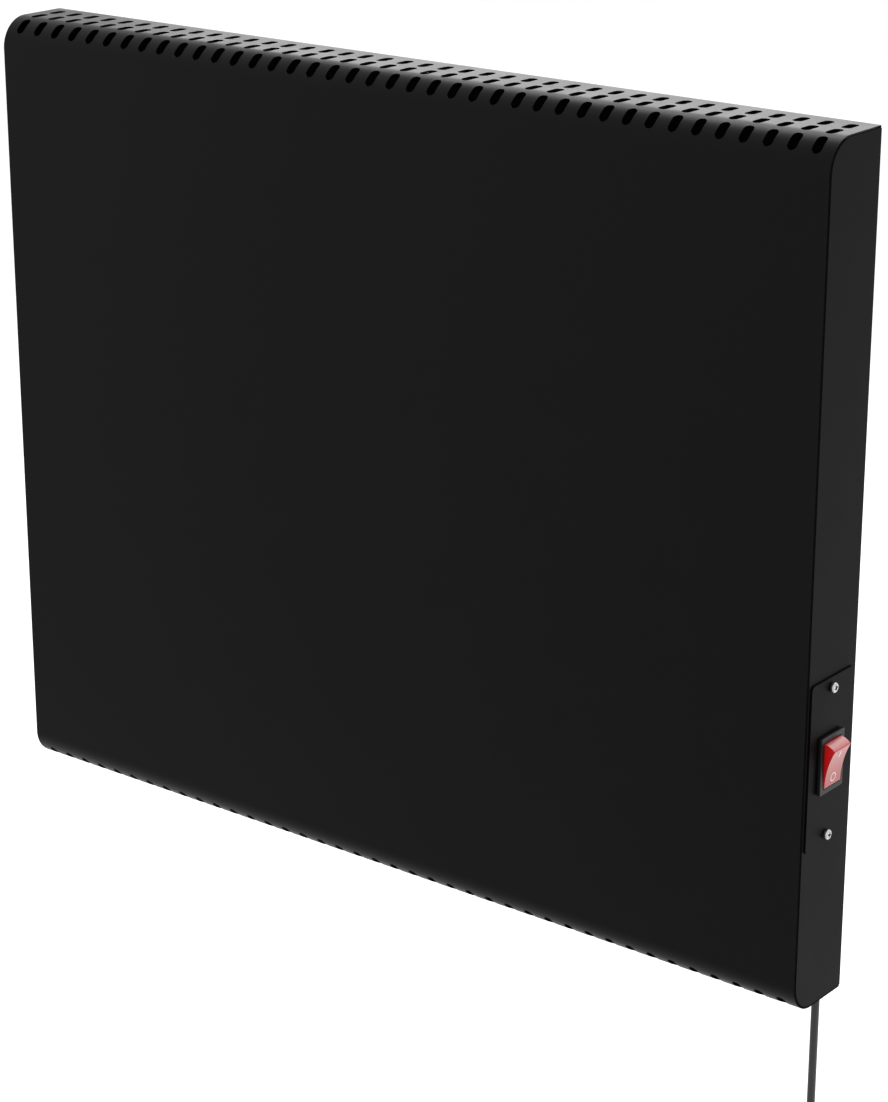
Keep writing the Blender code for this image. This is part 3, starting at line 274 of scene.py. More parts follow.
def finish(name, colour, gloss, grain, depth, mottle=0.12, metal=0.0, specular=0.5, dusty=0.0,
           mottle_size=0.03, gloss_shift=0.06, coat=0.0, coat_gloss=0.08):
    made = bpy.data.materials.new(name)
    made.use_nodes = True
    made.diffuse_color = (*colour, 1.0)
    tree = made.node_tree
    shader = tree.nodes["Principled BSDF"]
    place = tree.nodes.new("ShaderNodeTexCoord")
    look = tree.nodes.new("ShaderNodeGroup")
    look.node_tree = skin
    look.inputs["Grain Size"].default_value = grain
    look.inputs["Mottle Size"].default_value = mottle_size
    tree.links.new(place.outputs["Object"], look.inputs["Vector"])
    tint = tree.nodes.new("ShaderNodeMix")
    tint.data_type = "RGBA"
    tint.inputs["A"].default_value = (*[c * (1 - mottle) for c in colour], 1.0)
    tint.inputs["B"].default_value = (*[min(1.0, c * (1 + mottle)) for c in colour], 1.0)
    tree.links.new(look.outputs["Mottle"], tint.inputs["Factor"])
    colour_out = tint.outputs["Result"]
    if dusty:
        settled = tree.nodes.new("ShaderNodeGroup")
        settled.node_tree = dust
        settled.inputs["Amount"].default_value = dusty
        tree.links.new(place.outputs["Object"], settled.inputs["Vector"])
        film = tree.nodes.new("ShaderNodeMix")
        film.data_type = "RGBA"
        film.inputs["B"].default_value = (0.30, 0.29, 0.27, 1.0)
        tree.links.new(settled.outputs["Mask"], film.inputs["Factor"])
        tree.links.new(colour_out, film.inputs["A"])
        colour_out = film.outputs["Result"]
    tree.links.new(colour_out, shader.inputs["Base Color"])
    rough = math_node(tree, "MULTIPLY_ADD", look.outputs["Mottle"], 2 * gloss_shift, gloss - gloss_shift,
                      clamp=True)
    tree.links.new(rough, shader.inputs["Roughness"])
    shader.inputs["Metallic"].default_value = metal
    shader.inputs["Specular IOR Level"].default_value = specular
    shader.inputs["Coat Weight"].default_value = coat
    shader.inputs["Coat Roughness"].default_value = coat_gloss
    bump = tree.nodes.new("ShaderNodeBump")
    bump.inputs["Strength"].default_value = 1.0
    bump.inputs["Distance"].default_value = depth
    tree.links.new(look.outputs["Grain"], bump.inputs["Height"])
    tree.links.new(bump.outputs["Normal"], shader.inputs["Normal"])
    return made


# %% The heater's finishes
POWDER_COAT = finish("black_powder_coat", (0.0028, 0.0028, 0.0029), 0.38, 0.00055, 0.000012,
                     specular=0.092, dusty=0.003)
# The end plates and the switch plate take a copy of the powder coat with a weaker reflection, a painted shade
# that keeps that side darker than the front.
END_COAT_PAINTED_SHADE = finish("black_end_coat", (0.0028, 0.0028, 0.0029), 0.40, 0.00055, 0.000012,
                  specular=0.038, dusty=0.003)
# The cut edges and slot walls take a darker, duller copy of the black: a painted shade, because little light
# reaches them.
CUT_EDGE_PAINTED_SHADE = finish("cut_edge", (0.0012, 0.0012, 0.0012), 0.6, 0.00055, 0.00001, specular=0.02)
SHADED_COAT = finish("black_coat_inside", (0.0035, 0.0035, 0.0035), 0.6, 0.00055, 0.00001, specular=0.10)
ZINC = finish("zinc_plate", (0.66, 0.67, 0.69), 0.28, 0.0012, 0.000006, metal=1.0, mottle_size=0.006)
BRIGHT_SCREW = finish("bright_screw", (0.56, 0.56, 0.56), 0.24, 0.0005, 0.000004, metal=1.0,
                      mottle=0.2, mottle_size=0.002)
SCREW_RECESS_PAINTED_SHADE = finish("screw_recess", (0.05, 0.05, 0.05), 0.5, 0.0005, 0.000004, metal=1.0, mottle_size=0.002)
ALUMINIUM = finish("bare_aluminium", (0.77, 0.78, 0.79), 0.38, 0.0008, 0.00001, metal=1.0)
BLACK_PLASTIC = finish("black_moulding", (0.018, 0.018, 0.019), 0.38, 0.0003, 0.000006)
BEZEL_PLASTIC = finish("bezel_moulding", (0.012, 0.012, 0.0125), 0.26, 0.00025, 0.000004, mottle=0.08,
                       specular=0.2)
CORD_SHEATH = finish("cord_sheath", (0.027, 0.027, 0.028), 0.48, 0.0006, 0.00001)
CERAMIC = finish("ceramic", (0.78, 0.76, 0.70), 0.6, 0.0004, 0.00001)
WHITE_PLASTIC = finish("white_moulding", (0.74, 0.74, 0.71), 0.4, 0.0004, 0.000006)
BRASS = finish("brass", (0.72, 0.53, 0.24), 0.3, 0.0006, 0.000006, metal=1.0)
BROWN_WIRE = finish("brown_wire", (0.15, 0.06, 0.025), 0.42, 0.0005, 0.000006)
BLUE_WIRE = finish("blue_wire", (0.02, 0.10, 0.34), 0.42, 0.0005, 0.000006)
EARTH_WIRE = finish("earth_wire", (0.27, 0.44, 0.03), 0.42, 0.0005, 0.000006)
ROCKER_RED = finish("rocker_red", (0.46, 0.005, 0.005), 0.34, 0.0004, 0.000003, mottle=0.06, specular=0.8,
                    coat=0.5, coat_gloss=0.3)
# The rocker's sides take a lighter, less glossy copy of its red: painted light for the light that falls on
# them.
ROCKER_SIDE_PAINTED_LIGHT = finish("rocker_side", (0.66, 0.008, 0.008), 0.3, 0.0004, 0.000003, mottle=0.06, specular=0.25)
MARK_WHITE = finish("mark_white", (0.97, 0.96, 0.95), 0.34, 0.0003, 0.000003, mottle=0.02, specular=0.8,
                    coat=0.5, coat_gloss=0.3)
print("finishes:", len(bpy.data.materials))

# %% [markdown]
# ## Pieces that keep their solid
# What is hidden inside the cover or has a plain shape keeps the frame's solid and takes a finish.
# The hidden pieces follow what such a heater has, because the picture doesn't show them.

# %% Finishes for the frame's own solids
KEPT = {
    ZINC: ["wall_bracket", "hook_left", "hook_right", "element_support_left", "element_support_right",
           "cutout_bracket", "plug_pin_left", "plug_pin_right"],
    ALUMINIUM: ["heat_shield", "heating_element", "hook_rivet_left_inner", "hook_rivet_left_outer",
                "hook_rivet_right_inner", "hook_rivet_right_outer"],
    SHADED_COAT: ["back_panel"],
    BLACK_PLASTIC: ["thermal_cutout", "wall_spacer_left", "wall_spacer_right", "cord_tie"],
    CERAMIC: ["element_insulator_left", "element_insulator_right"],
    WHITE_PLASTIC: ["terminal_block"],
    BRASS: ["earth_stud", "switch_tab_lower_front", "switch_tab_lower_rear", "switch_tab_upper_front",
            "switch_tab_upper_rear"],
    CORD_SHEATH: ["inner_cord"],
    BROWN_WIRE: ["wire_live_in", "wire_live_out", "wire_element_feed"],
    BLUE_WIRE: ["wire_neutral_in", "wire_neutral_out"],
    EARTH_WIRE: ["wire_earth"],
}
for look, names in KEPT.items():
    for name in names:
        data = frame["nodes"][name].data
        data.materials.clear()
        data.materials.append(look)
print("kept solids:", sum(len(names) for names in KEPT.values()))

# %% Helpers for new pieces


def new_object(name, data, look=None):
    made = bpy.data.objects.new(name, data)
    scene.collection.objects.link(made)
    if look is not None:
        data.materials.clear()
        data.materials.append(look)
    return made


def mesh_from(name, fill):
    work = bmesh.new()
    fill(work)
    data = bpy.data.meshes.new(name)
    work.to_mesh(data)
    work.free()
    return data


def as_seen(made):
    """The mesh that an object's modifiers give, as a mesh of its own."""
    bpy.context.view_layer.update()
    graph = bpy.context.evaluated_depsgraph_get()
    return bpy.data.meshes.new_from_object(made.evaluated_get(graph), depsgraph=graph)


def settle(made, angle=35, even=False):
    """The object with its modifiers and its place made part of a plain mesh.

    With even set, large flat faces keep their own normals beside a soft edge."""
    data = as_seen(made)
    data.transform(made.matrix_world)
    name, look = made.name, [m for m in (*data.materials, *made.data.materials, None) if m][:1]
    bpy.data.objects.remove(made, do_unlink=True)
    data.materials.clear()
    for one in look:
        data.materials.append(one)
    data.polygons.foreach_set("material_index", [0] * len(data.polygons))
    data.shade_smooth()
    data.set_sharp_from_angle(angle=math.radians(angle))
    made = new_object(name, data)
    if even:
        weigh = made.modifiers.new("weigh", "WEIGHTED_NORMAL")
        weigh.keep_sharp, weigh.weight = True, 100
        made.data = as_seen(made)
        made.modifiers.clear()
    return made


def arc(cu, cv, radius, start, end, steps):
    turn = [start + (end - start) * i / steps for i in range(steps + 1)]
    return [(cu + radius * math.cos(a), cv + radius * math.sin(a)) for a in turn]


def count(made):
    made.data.calc_loop_triangles()
    return len(made.data.loop_triangles)


# %% Helpers that cut, thicken, soften and hang a piece
STAND_UP = Matrix.Rotation(math.pi / 2, 4, "Z") @ Matrix.Rotation(math.pi / 2, 4, "X")
tools = []


def hang(made, slot, *stands_for, body="heater"):
    """Moves a finished piece from the cover's frame to the wall's and gives it to its body."""
    made.data.transform(Matrix.Translation(at(0, 0, 0)))
    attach(made, body)
    if stands_for:
        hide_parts(*stands_for)


def thicken(made, sheet):
    wall = made.modifiers.new("sheet", "SOLIDIFY")
    wall.thickness, wall.offset, wall.use_even_offset = sheet, -1.0, True


def soften(made, width, segments):
    edge = made.modifiers.new("edge", "BEVEL")
    edge.width, edge.segments, edge.limit_method = width, segments, "ANGLE"
    edge.angle_limit = math.radians(40)


def subtract(made, cutter_mesh):
    cutter = new_object("cutter", cutter_mesh)
    cutter.hide_render = True
    tools.append(cutter)
    tool = made.modifiers.new("cut", "BOOLEAN")
    tool.operation, tool.solver, tool.object = "DIFFERENCE", "EXACT", cutter


def clear_tools():
    while tools:
        bpy.data.objects.remove(tools.pop(), do_unlink=True)


# %% Helpers that make a mesh


def rounded_box(wide, tall, radius, steps=4):
    u, v = wide / 2 - radius, tall / 2 - radius
    out = []
    for k, (su, sv) in enumerate(((1, 1), (-1, 1), (-1, -1), (1, -1))):
        out += arc(su * u, sv * v, radius, k * math.pi / 2, (k + 1) * math.pi / 2, steps)
    return out


def loft(name, rings, cap_first=True, cap_last=True):
    def fill(work):
        loops = [[work.verts.new(point) for point in ring] for ring in rings]
        for one, two in zip(loops, loops[1:]):
            for i in range(len(one)):
                j = (i + 1) % len(one)
                work.faces.new((one[i], one[j], two[j], two[i]))
        if cap_first:
            work.faces.new(loops[0])
        if cap_last:
            work.faces.new(loops[-1])
        bmesh.ops.recalc_face_normals(work, faces=work.faces)

    return mesh_from(name, fill)


def turned_mesh(name, profile, steps):
    def fill(work):
        rings = []
        for r, z in profile:
            turn = [2 * math.pi * k / steps for k in range(steps)] if r > 0 else [0.0]
            rings.append([work.verts.new((r * math.cos(a), r * math.sin(a), z)) for a in turn])
        for one, two in zip(rings, rings[1:]):
            for i in range(steps):
                j = (i + 1) % steps
                corners = [one[i % len(one)], one[j % len(one)], two[j % len(two)], two[i % len(two)]]
                work.faces.new(list(dict.fromkeys(corners)))
        bmesh.ops.recalc_face_normals(work, faces=work.faces)

    return mesh_from(name, fill)


def box_mesh(name, size, centre):
    def fill(work):
        bmesh.ops.create_cube(work, size=1.0)
        bmesh.ops.scale(work, vec=size, verts=work.verts)
        bmesh.ops.translate(work, vec=centre, verts=work.verts)

    return mesh_from(name, fill)


def rod_mesh(name, radius, long, centre):
    data = turned_mesh(name, [(0.0, long / 2), (radius, long / 2), (radius, -long / 2), (0.0, -long / 2)], 24)
    data.transform(Matrix.Translation(centre) @ Matrix.Rotation(math.pi / 2, 4, "Y"))
    return data


def flat_mesh(name, outlines, thickness):
    curve = bpy.data.curves.new(name, "CURVE")
    curve.dimensions, curve.fill_mode, curve.extrude = "2D", "BOTH", thickness / 2
    for outline in outlines:
        spline = curve.splines.new("POLY")
        spline.points.add(len(outline) - 1)
        for point, (u, v) in zip(spline.points, outline):
            point.co = (u, v, 0.0, 1.0)
        spline.use_cyclic_u = True
    drawn = new_object(name, curve)
    bpy.context.view_layer.update()
    graph = bpy.context.evaluated_depsgraph_get()
    data = bpy.data.meshes.new_from_object(drawn.evaluated_get(graph))
    bpy.data.objects.remove(drawn, do_unlink=True)
    work = bmesh.new()
    work.from_mesh(data)
    bmesh.ops.remove_doubles(work, verts=work.verts, dist=0.00001)
    bmesh.ops.dissolve_limit(work, angle_limit=0.01, verts=work.verts, edges=work.edges)
    bmesh.ops.recalc_face_normals(work, faces=work.faces)
    work.to_mesh(data)
    work.free()
    return data


# %% Sizes of the switch and its plate
SWITCH_Y, SWITCH_Z, PLATE_Y = -0.0258, 0.150, -0.0245
SCREW_R = 0.0016
PLATE_IN, PLATE_SHEET = WIDTH / 2 + 0.0003, 0.0008
PLATE_GAP = 0.0001
PLATE_SCREW_Z = [SWITCH_Z + 0.044, SWITCH_Z - 0.044]
BEZEL_WIDE, BEZEL_TALL, BEZEL_RISE = 0.0238, 0.0340, 0.0019
ROCKER_WIDE, ROCKER_R, ROCKER_TIP, ROCKER_SAG, ROCKER_ROOT = 0.0170, 0.0136, 0.0064, 0.0014, 0.0045
ROCKER_TILT, PIVOT_X = math.radians(14.0), WIDTH / 2 + 0.0006
BODY_WIDE, BODY_TALL = ROCKER_WIDE + 0.0018, 2 * ROCKER_R + 0.0033
deepest = math.atan2(ROCKER_ROOT, math.sqrt(ROCKER_R**2 - ROCKER_ROOT**2)) + ROCKER_TILT
POCKET_FLOOR = PIVOT_X - math.hypot(ROCKER_ROOT, ROCKER_R) * math.sin(deepest) - 0.0006
print("pocket floor %.1f mm behind the end plate" % ((WIDTH / 2 - POCKET_FLOOR) * 1000))

# %% [markdown]
# ## The slotted cover
# The real cover is one blank: it is punched flat and then folded. The same order suits a node
# tree. A grid carries three columns to each slot and eighteen steps along it. The columns are
# moved to the slot's outline, the middle column is deleted to open it, and the flat sheet is then
# folded by turning the distance along it into an arc. A boolean of 239 cutters would be slower and
# would leave long thin faces across the folds. The cut edges at the ends and the walls of the slots
# take a darker finish than the face, a painted shade, because little light reaches them.

# %% Sizes of the cover
SHEET, BEND_R, LIP = 0.0010, 0.019, 0.012
SLOT_LENGTH, SLOT_WIDTH, SLOT_PITCH, SLOT_COUNT = 0.012, 0.006, 0.0148, 40
ROW_EDGE, ROW_PITCH, ROW_COUNT = 0.013, 0.0155, 3
COVER_HALF = WIDTH / 2 - 0.0003
END_STEPS, SIDE_STEPS = 6, 4
CELL_STEPS = 2 * (END_STEPS + 1) + SIDE_STEPS
BEND_STEPS, FRONT_STEPS = 6, 3
LIP_STEPS = 3
HALF_STEPS = FRONT_STEPS + BEND_STEPS + ROW_COUNT * CELL_STEPS + LIP_STEPS
LIP_HALF = WIDTH / 2 - 0.0058
print("grid of %d by %d points" % (3 * SLOT_COUNT + 3, 2 * HALF_STEPS + 1))

# %% A small writer for field arithmetic


class Fields:
    """Writes Math nodes, so that a formula reads as one line."""

    def __init__(self, tree):
        self.tree = tree

    def __call__(self, operation, *values, clamp=False):
        return math_node(self.tree, operation, *values, clamp=clamp)

    def pick(self, condition, no, yes):
        """yes where the condition is 1, no where it is 0."""
        return self("ADD", no, self("MULTIPLY", condition, self("SUBTRACT", yes, no)))


def new_tree(name, inputs):
    tree = bpy.data.node_groups.new(name, "GeometryNodeTree")
    tree.interface.new_socket("Geometry", in_out="INPUT", socket_type="NodeSocketGeometry")
    keys = {}
    for label, kind, value in inputs:
        socket = tree.interface.new_socket(label, in_out="INPUT", socket_type=kind)
        if value is not None:
            socket.default_value = value
        keys[label] = socket.identifier
    tree.interface.new_socket("Geometry", in_out="OUTPUT", socket_type="NodeSocketGeometry")
    return tree, tree.nodes.new("NodeGroupInput"), tree.nodes.new("NodeGroupOutput"), keys


def end_tree(tree, group_in, group_out, geometry):
    realize = tree.nodes.new("GeometryNodeRealizeInstances")
    paint = tree.nodes.new("GeometryNodeSetMaterial")
    tree.links.new(geometry, realize.inputs["Geometry"])
    tree.links.new(realize.outputs[0], paint.inputs["Geometry"])
    tree.links.new(group_in.outputs["Material"], paint.inputs["Material"])
    tree.links.new(paint.outputs[0], group_out.inputs[0])


# %% [markdown]
# The tree has three stages. The first reads a point's column and row from its index. The second
# works out where that point lies on the flat blank, x across and s along it from the back edge.
# The third folds the blank.

# %% The cover's node tree
tree, tin, tout, cover_keys = new_tree(
    "slotted_cover",
    [("Half Width", "NodeSocketFloat", COVER_HALF), ("Height", "NodeSocketFloat", HEIGHT),
     ("Depth", "NodeSocketFloat", DEPTH), ("Bend Radius", "NodeSocketFloat", BEND_R),
     ("Lip", "NodeSocketFloat", LIP), ("Lip Half", "NodeSocketFloat", LIP_HALF),
     ("Slot Length", "NodeSocketFloat", SLOT_LENGTH), ("Slot Width", "NodeSocketFloat", SLOT_WIDTH),
     ("Slot Pitch", "NodeSocketFloat", SLOT_PITCH),
     ("Row Edge", "NodeSocketFloat", ROW_EDGE), ("Row Pitch", "NodeSocketFloat", ROW_PITCH),
     ("Material", "NodeSocketMaterial", None)],
)
f = Fields(tree)
size = tin.outputs
columns, rows = 3 * SLOT_COUNT + 3, 2 * HALF_STEPS + 1
grid = tree.nodes.new("GeometryNodeMeshGrid")
grid.inputs["Size X"].default_value = 1.0
grid.inputs["Size Y"].default_value = 1.0
grid.inputs["Vertices X"].default_value = columns
grid.inputs["Vertices Y"].default_value = rows
place = tree.nodes.new("GeometryNodeInputPosition")
spot = tree.nodes.new("ShaderNodeSeparateXYZ")
tree.links.new(place.outputs[0], spot.inputs[0])
column = f("ROUND", f("MULTIPLY", f("ADD", spot.outputs["X"], 0.5), columns - 1))
row = f("ROUND", f("MULTIPLY", f("ADD", spot.outputs["Y"], 0.5), rows - 1))

# along the blank: steps counted from the back edge, the same on the top and on the underside
top = f("GREATER_THAN", row, float(HALF_STEPS))
from_lip = f("SUBTRACT", float(HALF_STEPS), f("ABSOLUTE", f("SUBTRACT", row, float(HALF_STEPS))))
step = f("SUBTRACT", from_lip, float(LIP_STEPS))
cell = f("FLOOR", f("DIVIDE", step, float(CELL_STEPS)))
cell = f("MINIMUM", f("MAXIMUM", cell, 0.0), float(ROW_COUNT - 1))
inside = f("SUBTRACT", f("SUBTRACT", step, f("MULTIPLY", cell, float(CELL_STEPS))), CELL_STEPS / 2)
reach = f("ABSOLUTE", inside)
half_side = SIDE_STEPS / 2
swing = f("DIVIDE", f("SUBTRACT", reach, half_side), float(END_STEPS), clamp=True)
angle = f("MULTIPLY", swing, math.pi / 2)
radius = f("DIVIDE", size["Slot Width"], 2.0)
straight = f("DIVIDE", f("SUBTRACT", size["Slot Length"], size["Slot Width"]), 2.0)
spare = f("DIVIDE", f("SUBTRACT", size["Row Pitch"], size["Slot Length"]), 2.0)
along = f("MULTIPLY", f("DIVIDE", f("MINIMUM", reach, half_side), half_side), straight)
along = f("ADD", along, f("MULTIPLY", radius, f("SINE", angle)))
past = f("MAXIMUM", 0.0, f("SUBTRACT", reach, half_side + END_STEPS))
along = f("ADD", along, f("MULTIPLY", f("MINIMUM", past, 1.0), spare))
along = f("MULTIPLY", along, f("SIGN", inside))
centre = f("ADD", size["Row Edge"], f("MULTIPLY", cell, size["Row Pitch"]))
s_cells = f("ADD", centre, along)
flat_run = f("SUBTRACT", size["Depth"], size["Bend Radius"])
quarter = f("MULTIPLY", size["Bend Radius"], math.pi / 2)
s_bend = f("ADD", flat_run, quarter)
s_last = f("ADD", size["Row Edge"], f("MULTIPLY", size["Row Pitch"], ROW_COUNT - 0.5))
after = f("SUBTRACT", step, float(ROW_COUNT * CELL_STEPS))
share = f("DIVIDE", after, float(BEND_STEPS), clamp=True)
s_after = f("ADD", s_last, f("MULTIPLY", share, f("SUBTRACT", s_bend, s_last)))
half_front = f("SUBTRACT", f("DIVIDE", size["Height"], 2.0), size["Bend Radius"])
onward = f("DIVIDE", f("SUBTRACT", after, float(BEND_STEPS)), float(FRONT_STEPS), clamp=True)
s_after = f("ADD", s_after, f("MULTIPLY", onward, half_front))
s = f.pick(f("GREATER_THAN", after, 0.0), s_cells, s_after)
s = f.pick(f("LESS_THAN", from_lip, LIP_STEPS - 0.5), s, 0.0)
s = f.pick(f("LESS_THAN", from_lip, LIP_STEPS - 1.5), s, -0.0012)
s = f.pick(f("LESS_THAN", from_lip, 0.5), s, f("MULTIPLY", size["Lip"], -1.0))
on_lip = f("LESS_THAN", from_lip, LIP_STEPS - 1.5)

# across the blank: a cell's edge, then the slot's two sides
k = f("SUBTRACT", column, 1.0)
number = f("FLOOR", f("DIVIDE", k, 3.0))
kind = f("SUBTRACT", k, f("MULTIPLY", number, 3.0))
in_cells = f("MULTIPLY", f("GREATER_THAN", step, -0.5), f("LESS_THAN", step, ROW_COUNT * CELL_STEPS + 0.5))
open_width = f("MULTIPLY", f("MULTIPLY", radius, f("COSINE", angle)), in_cells)
last = f("GREATER_THAN", number, SLOT_COUNT - 1.5)
by_cord = f("MULTIPLY", f("MULTIPLY", last, f("LESS_THAN", cell, 0.5)), f("SUBTRACT", 1.0, top))
open_width = f("MULTIPLY", open_width, f("SUBTRACT", 1.0, by_cord))
x_slot = f("MULTIPLY", f("SUBTRACT", number, (SLOT_COUNT - 1) / 2), size["Slot Pitch"])
side = f("SUBTRACT", f("MULTIPLY", kind, 2.0), 3.0)
x_edge = f("SUBTRACT", x_slot, f("DIVIDE", size["Slot Pitch"], 2.0))
x = f.pick(f("GREATER_THAN", kind, 0.5), x_edge, f("ADD", x_slot, f("MULTIPLY", side, open_width)))
x = f.pick(f("LESS_THAN", column, 0.5), x, f("MULTIPLY", size["Half Width"], -1.0))
x = f.pick(f("GREATER_THAN", column, columns - 1.5), x, size["Half Width"])
x_lip = f("MINIMUM", f("MAXIMUM", x, f("MULTIPLY", size["Lip Half"], -1.0)), size["Lip Half"])
x = f.pick(on_lip, x, x_lip)

# the fold
turned = f("DIVIDE", f("SUBTRACT", s, flat_run), size["Bend Radius"])
turned = f("MINIMUM", f("MAXIMUM", turned, 0.0), math.pi / 2)
level_run = f("MINIMUM", f("MAXIMUM", s, 0.0), flat_run)
y = f("ADD", level_run, f("MULTIPLY", size["Bend Radius"], f("SINE", turned)))
y = f("MULTIPLY", y, -1.0)
drop = f("MULTIPLY", size["Bend Radius"], f("SUBTRACT", 1.0, f("COSINE", turned)))
drop = f("ADD", drop, f("MAXIMUM", 0.0, f("SUBTRACT", s, s_bend)))
drop = f("ADD", drop, f("MAXIMUM", 0.0, f("MULTIPLY", s, -1.0)))
z = f.pick(top, drop, f("SUBTRACT", size["Height"], drop))
join = tree.nodes.new("ShaderNodeCombineXYZ")
for label, value in zip("XYZ", (x, y, z)):
    tree.links.new(value, join.inputs[label])

# the middle column of each slot is taken out before the points move
middle_face = f("MULTIPLY", f("GREATER_THAN", kind, 0.9), f("LESS_THAN", kind, 2.1))
keep_out = tree.nodes.new("GeometryNodeDeleteGeometry")
keep_out.domain = "FACE"
face_x = f("MULTIPLY", f("ADD", spot.outputs["X"], 0.5), columns - 1)
face_k = f("SUBTRACT", f("FLOOR", face_x), 1.0)
face_kind = f("SUBTRACT", face_k, f("MULTIPLY", f("FLOOR", f("DIVIDE", face_k, 3.0)), 3.0))
is_middle = f("COMPARE", face_kind, 1.0, 0.1)
within = f("MULTIPLY", f("GREATER_THAN", face_x, 1.0), f("LESS_THAN", face_x, columns - 2.0))
tree.links.new(grid.outputs["Mesh"], keep_out.inputs["Geometry"])
tree.links.new(f("MULTIPLY", is_middle, within), keep_out.inputs["Selection"])
shift = tree.nodes.new("GeometryNodeSetPosition")
tree.links.new(keep_out.outputs[0], shift.inputs["Geometry"])
tree.links.new(join.outputs[0], shift.inputs["Position"])
merge = tree.nodes.new("GeometryNodeMergeByDistance")
merge.inputs["Distance"].default_value = 0.00002
tree.links.new(shift.outputs[0], merge.inputs["Geometry"])
end_tree(tree, tin, tout, merge.outputs[0])
cover_tree = tree
print("cover tree:", len(tree.nodes), "nodes")

# %% The cover as a plain mesh
cover = new_object("slotted_cover", bpy.data.meshes.new("slotted_cover"))
nodes = cover.modifiers.new("fold", "NODES")
nodes.node_group = cover_tree
nodes[cover_keys["Material"]] = POWDER_COAT
cover = settle(cover)
outwards = max(cover.data.polygons, key=lambda face: face.area).normal
if outwards.y > 0:
    cover.data.flip_normals()
thicken(cover, SHEET)
soften(cover, 0.00014, 1)
cover = settle(cover, 30)
# The cut edges at the ends and the slot walls get the painted shade finish.
cover.data.materials.append(CUT_EDGE_PAINTED_SHADE)
for face in cover.data.polygons:
    x, y, z = face.center
    if abs(x) > COVER_HALF - 0.0002:
        face.material_index = int(abs(face.normal.x) > 0.3 and z < HEIGHT - SHEET - 0.0002)
    elif y < -0.002:
        outward = Vector((0.0, min(0.0, y + DEPTH - BEND_R), z - min(max(z, BEND_R), HEIGHT - BEND_R)))
        face.material_index = int(abs(face.normal.dot(outward.normalized())) < 0.5)
print("cover:", count(cover), "triangles, front normal y was %.1f" % outwards.y)
hang(cover, "black_powder_coat", "front_panel")

# %% [markdown]
# ## End plates
# Each end is a shallow pressed tray that sits inside the fold of the cover, 0.3 mm clear of it. Its
# pressed edge is round, and that soft edge beside the cover's sharp one draws the dark seam. A loft
# of outlines makes it: each outline is a little smaller and further out, as a quarter turn asks.

# %% The outline of an end plate
SEAM = 0.0003
END_SHEET, END_RIM, END_ROUND = 0.0012, 0.0055, 0.0004
END_R = BEND_R - SHEET - SEAM


def end_ring(x, less, steps=16):
    flat = DEPTH - BEND_R
    low = arc(-flat, BEND_R, END_R - less, -math.pi / 2, -math.pi, steps)
    high = arc(-flat, HEIGHT - BEND_R, END_R - less, math.pi, math.pi / 2, steps)
    near, far = SHEET + SEAM + less, HEIGHT - SHEET - SEAM - less
    return [(x, 0.0, near), *[(x, y, z) for y, z in low + high], (x, 0.0, far)]


# %% The two end plates
for side, name in ((-1, "left_end_plate"), (1, "right_end_plate")):
    rings = [end_ring(side * (WIDTH / 2 - END_RIM), 0.0)]
    for a in (math.pi / 2 * k / 5 for k in range(6)):
        x = WIDTH / 2 - END_ROUND * (1 - math.sin(a))
        rings.append(end_ring(side * x, END_ROUND * (1 - math.cos(a))))
    # The pressed tray takes the weaker-reflecting copy of the coat, a painted shade.
    plate = new_object(name + "_pressed", loft(name, rings, cap_first=False), END_COAT_PAINTED_SHADE)
    if max(plate.data.polygons, key=lambda face: face.area).normal.x * side < 0:
        plate.data.flip_normals()
    thicken(plate, END_SHEET)
    if side > 0:
        service = [box_mesh("service", (0.02, 0.030, 0.068), (WIDTH / 2, PLATE_Y, SWITCH_Z))]
        for z in PLATE_SCREW_Z:
            service.append(rod_mesh("shank_hole", SCREW_R + SEAM, 0.02, (WIDTH / 2, SWITCH_Y, z)))
        for cutter in service:
            subtract(plate, cutter)
    plate = settle(plate, 35, even=True)
    clear_tools()
    print(plate.name, count(plate), "triangles")
    hang(plate, "black_powder_coat", name)

# %% [markdown]
# ## Switch cover plate
# A thin painted plate closes the service opening and carries the switch. It is a flat outline with
# a window and two holes, so a filled curve gives the blank, and a fine bevel gives it the soft edge
# of paint. It is 0.1 mm thicker than the solid, to lessen the shadow under the bezel and the screws.

# %% The switch cover plate
OFF_MIDDLE = SWITCH_Y - PLATE_Y
window = [(u + OFF_MIDDLE, v) for u, v in rounded_box(BODY_WIDE + 2 * SEAM, BODY_TALL + 2 * SEAM, 0.0005, 2)]
holes = [arc(OFF_MIDDLE, z - SWITCH_Z, SCREW_R + SEAM, 0.0, 2 * math.pi * 23 / 24, 23) for z in PLATE_SCREW_Z]
PLATE_WIDE, PLATE_TALL, PLATE_CORNER = 0.044, 0.100, 0.003
PLATE_THICK = PLATE_SHEET + PLATE_GAP
outlines = [rounded_box(PLATE_WIDE, PLATE_TALL, PLATE_CORNER, 8), window, *holes]
blank = flat_mesh("plate_blank", outlines, PLATE_THICK)
plate_middle = (WIDTH / 2 + PLATE_GAP + PLATE_THICK / 2, PLATE_Y, SWITCH_Z)
blank.transform(Matrix.Translation(plate_middle) @ STAND_UP)
# The plate takes the same weaker-reflecting copy of the coat, a painted shade.
plate = new_object("cover_plate", blank, END_COAT_PAINTED_SHADE)
soften(plate, 0.00018, 2)
plate = settle(plate, 50, even=True)
print("cover plate:", count(plate), "triangles")
hang(plate, "black_powder_coat", "switch_cover_plate")

# %% [markdown]
# ## Rocker switch
# The bezel and the body behind it are one moulding with a pocket for the rocker. Every section of it
# is a rectangle with round corners, so it is a loft too, from the pocket's floor out over the lip,
# round the bezel's edge and back along the body.

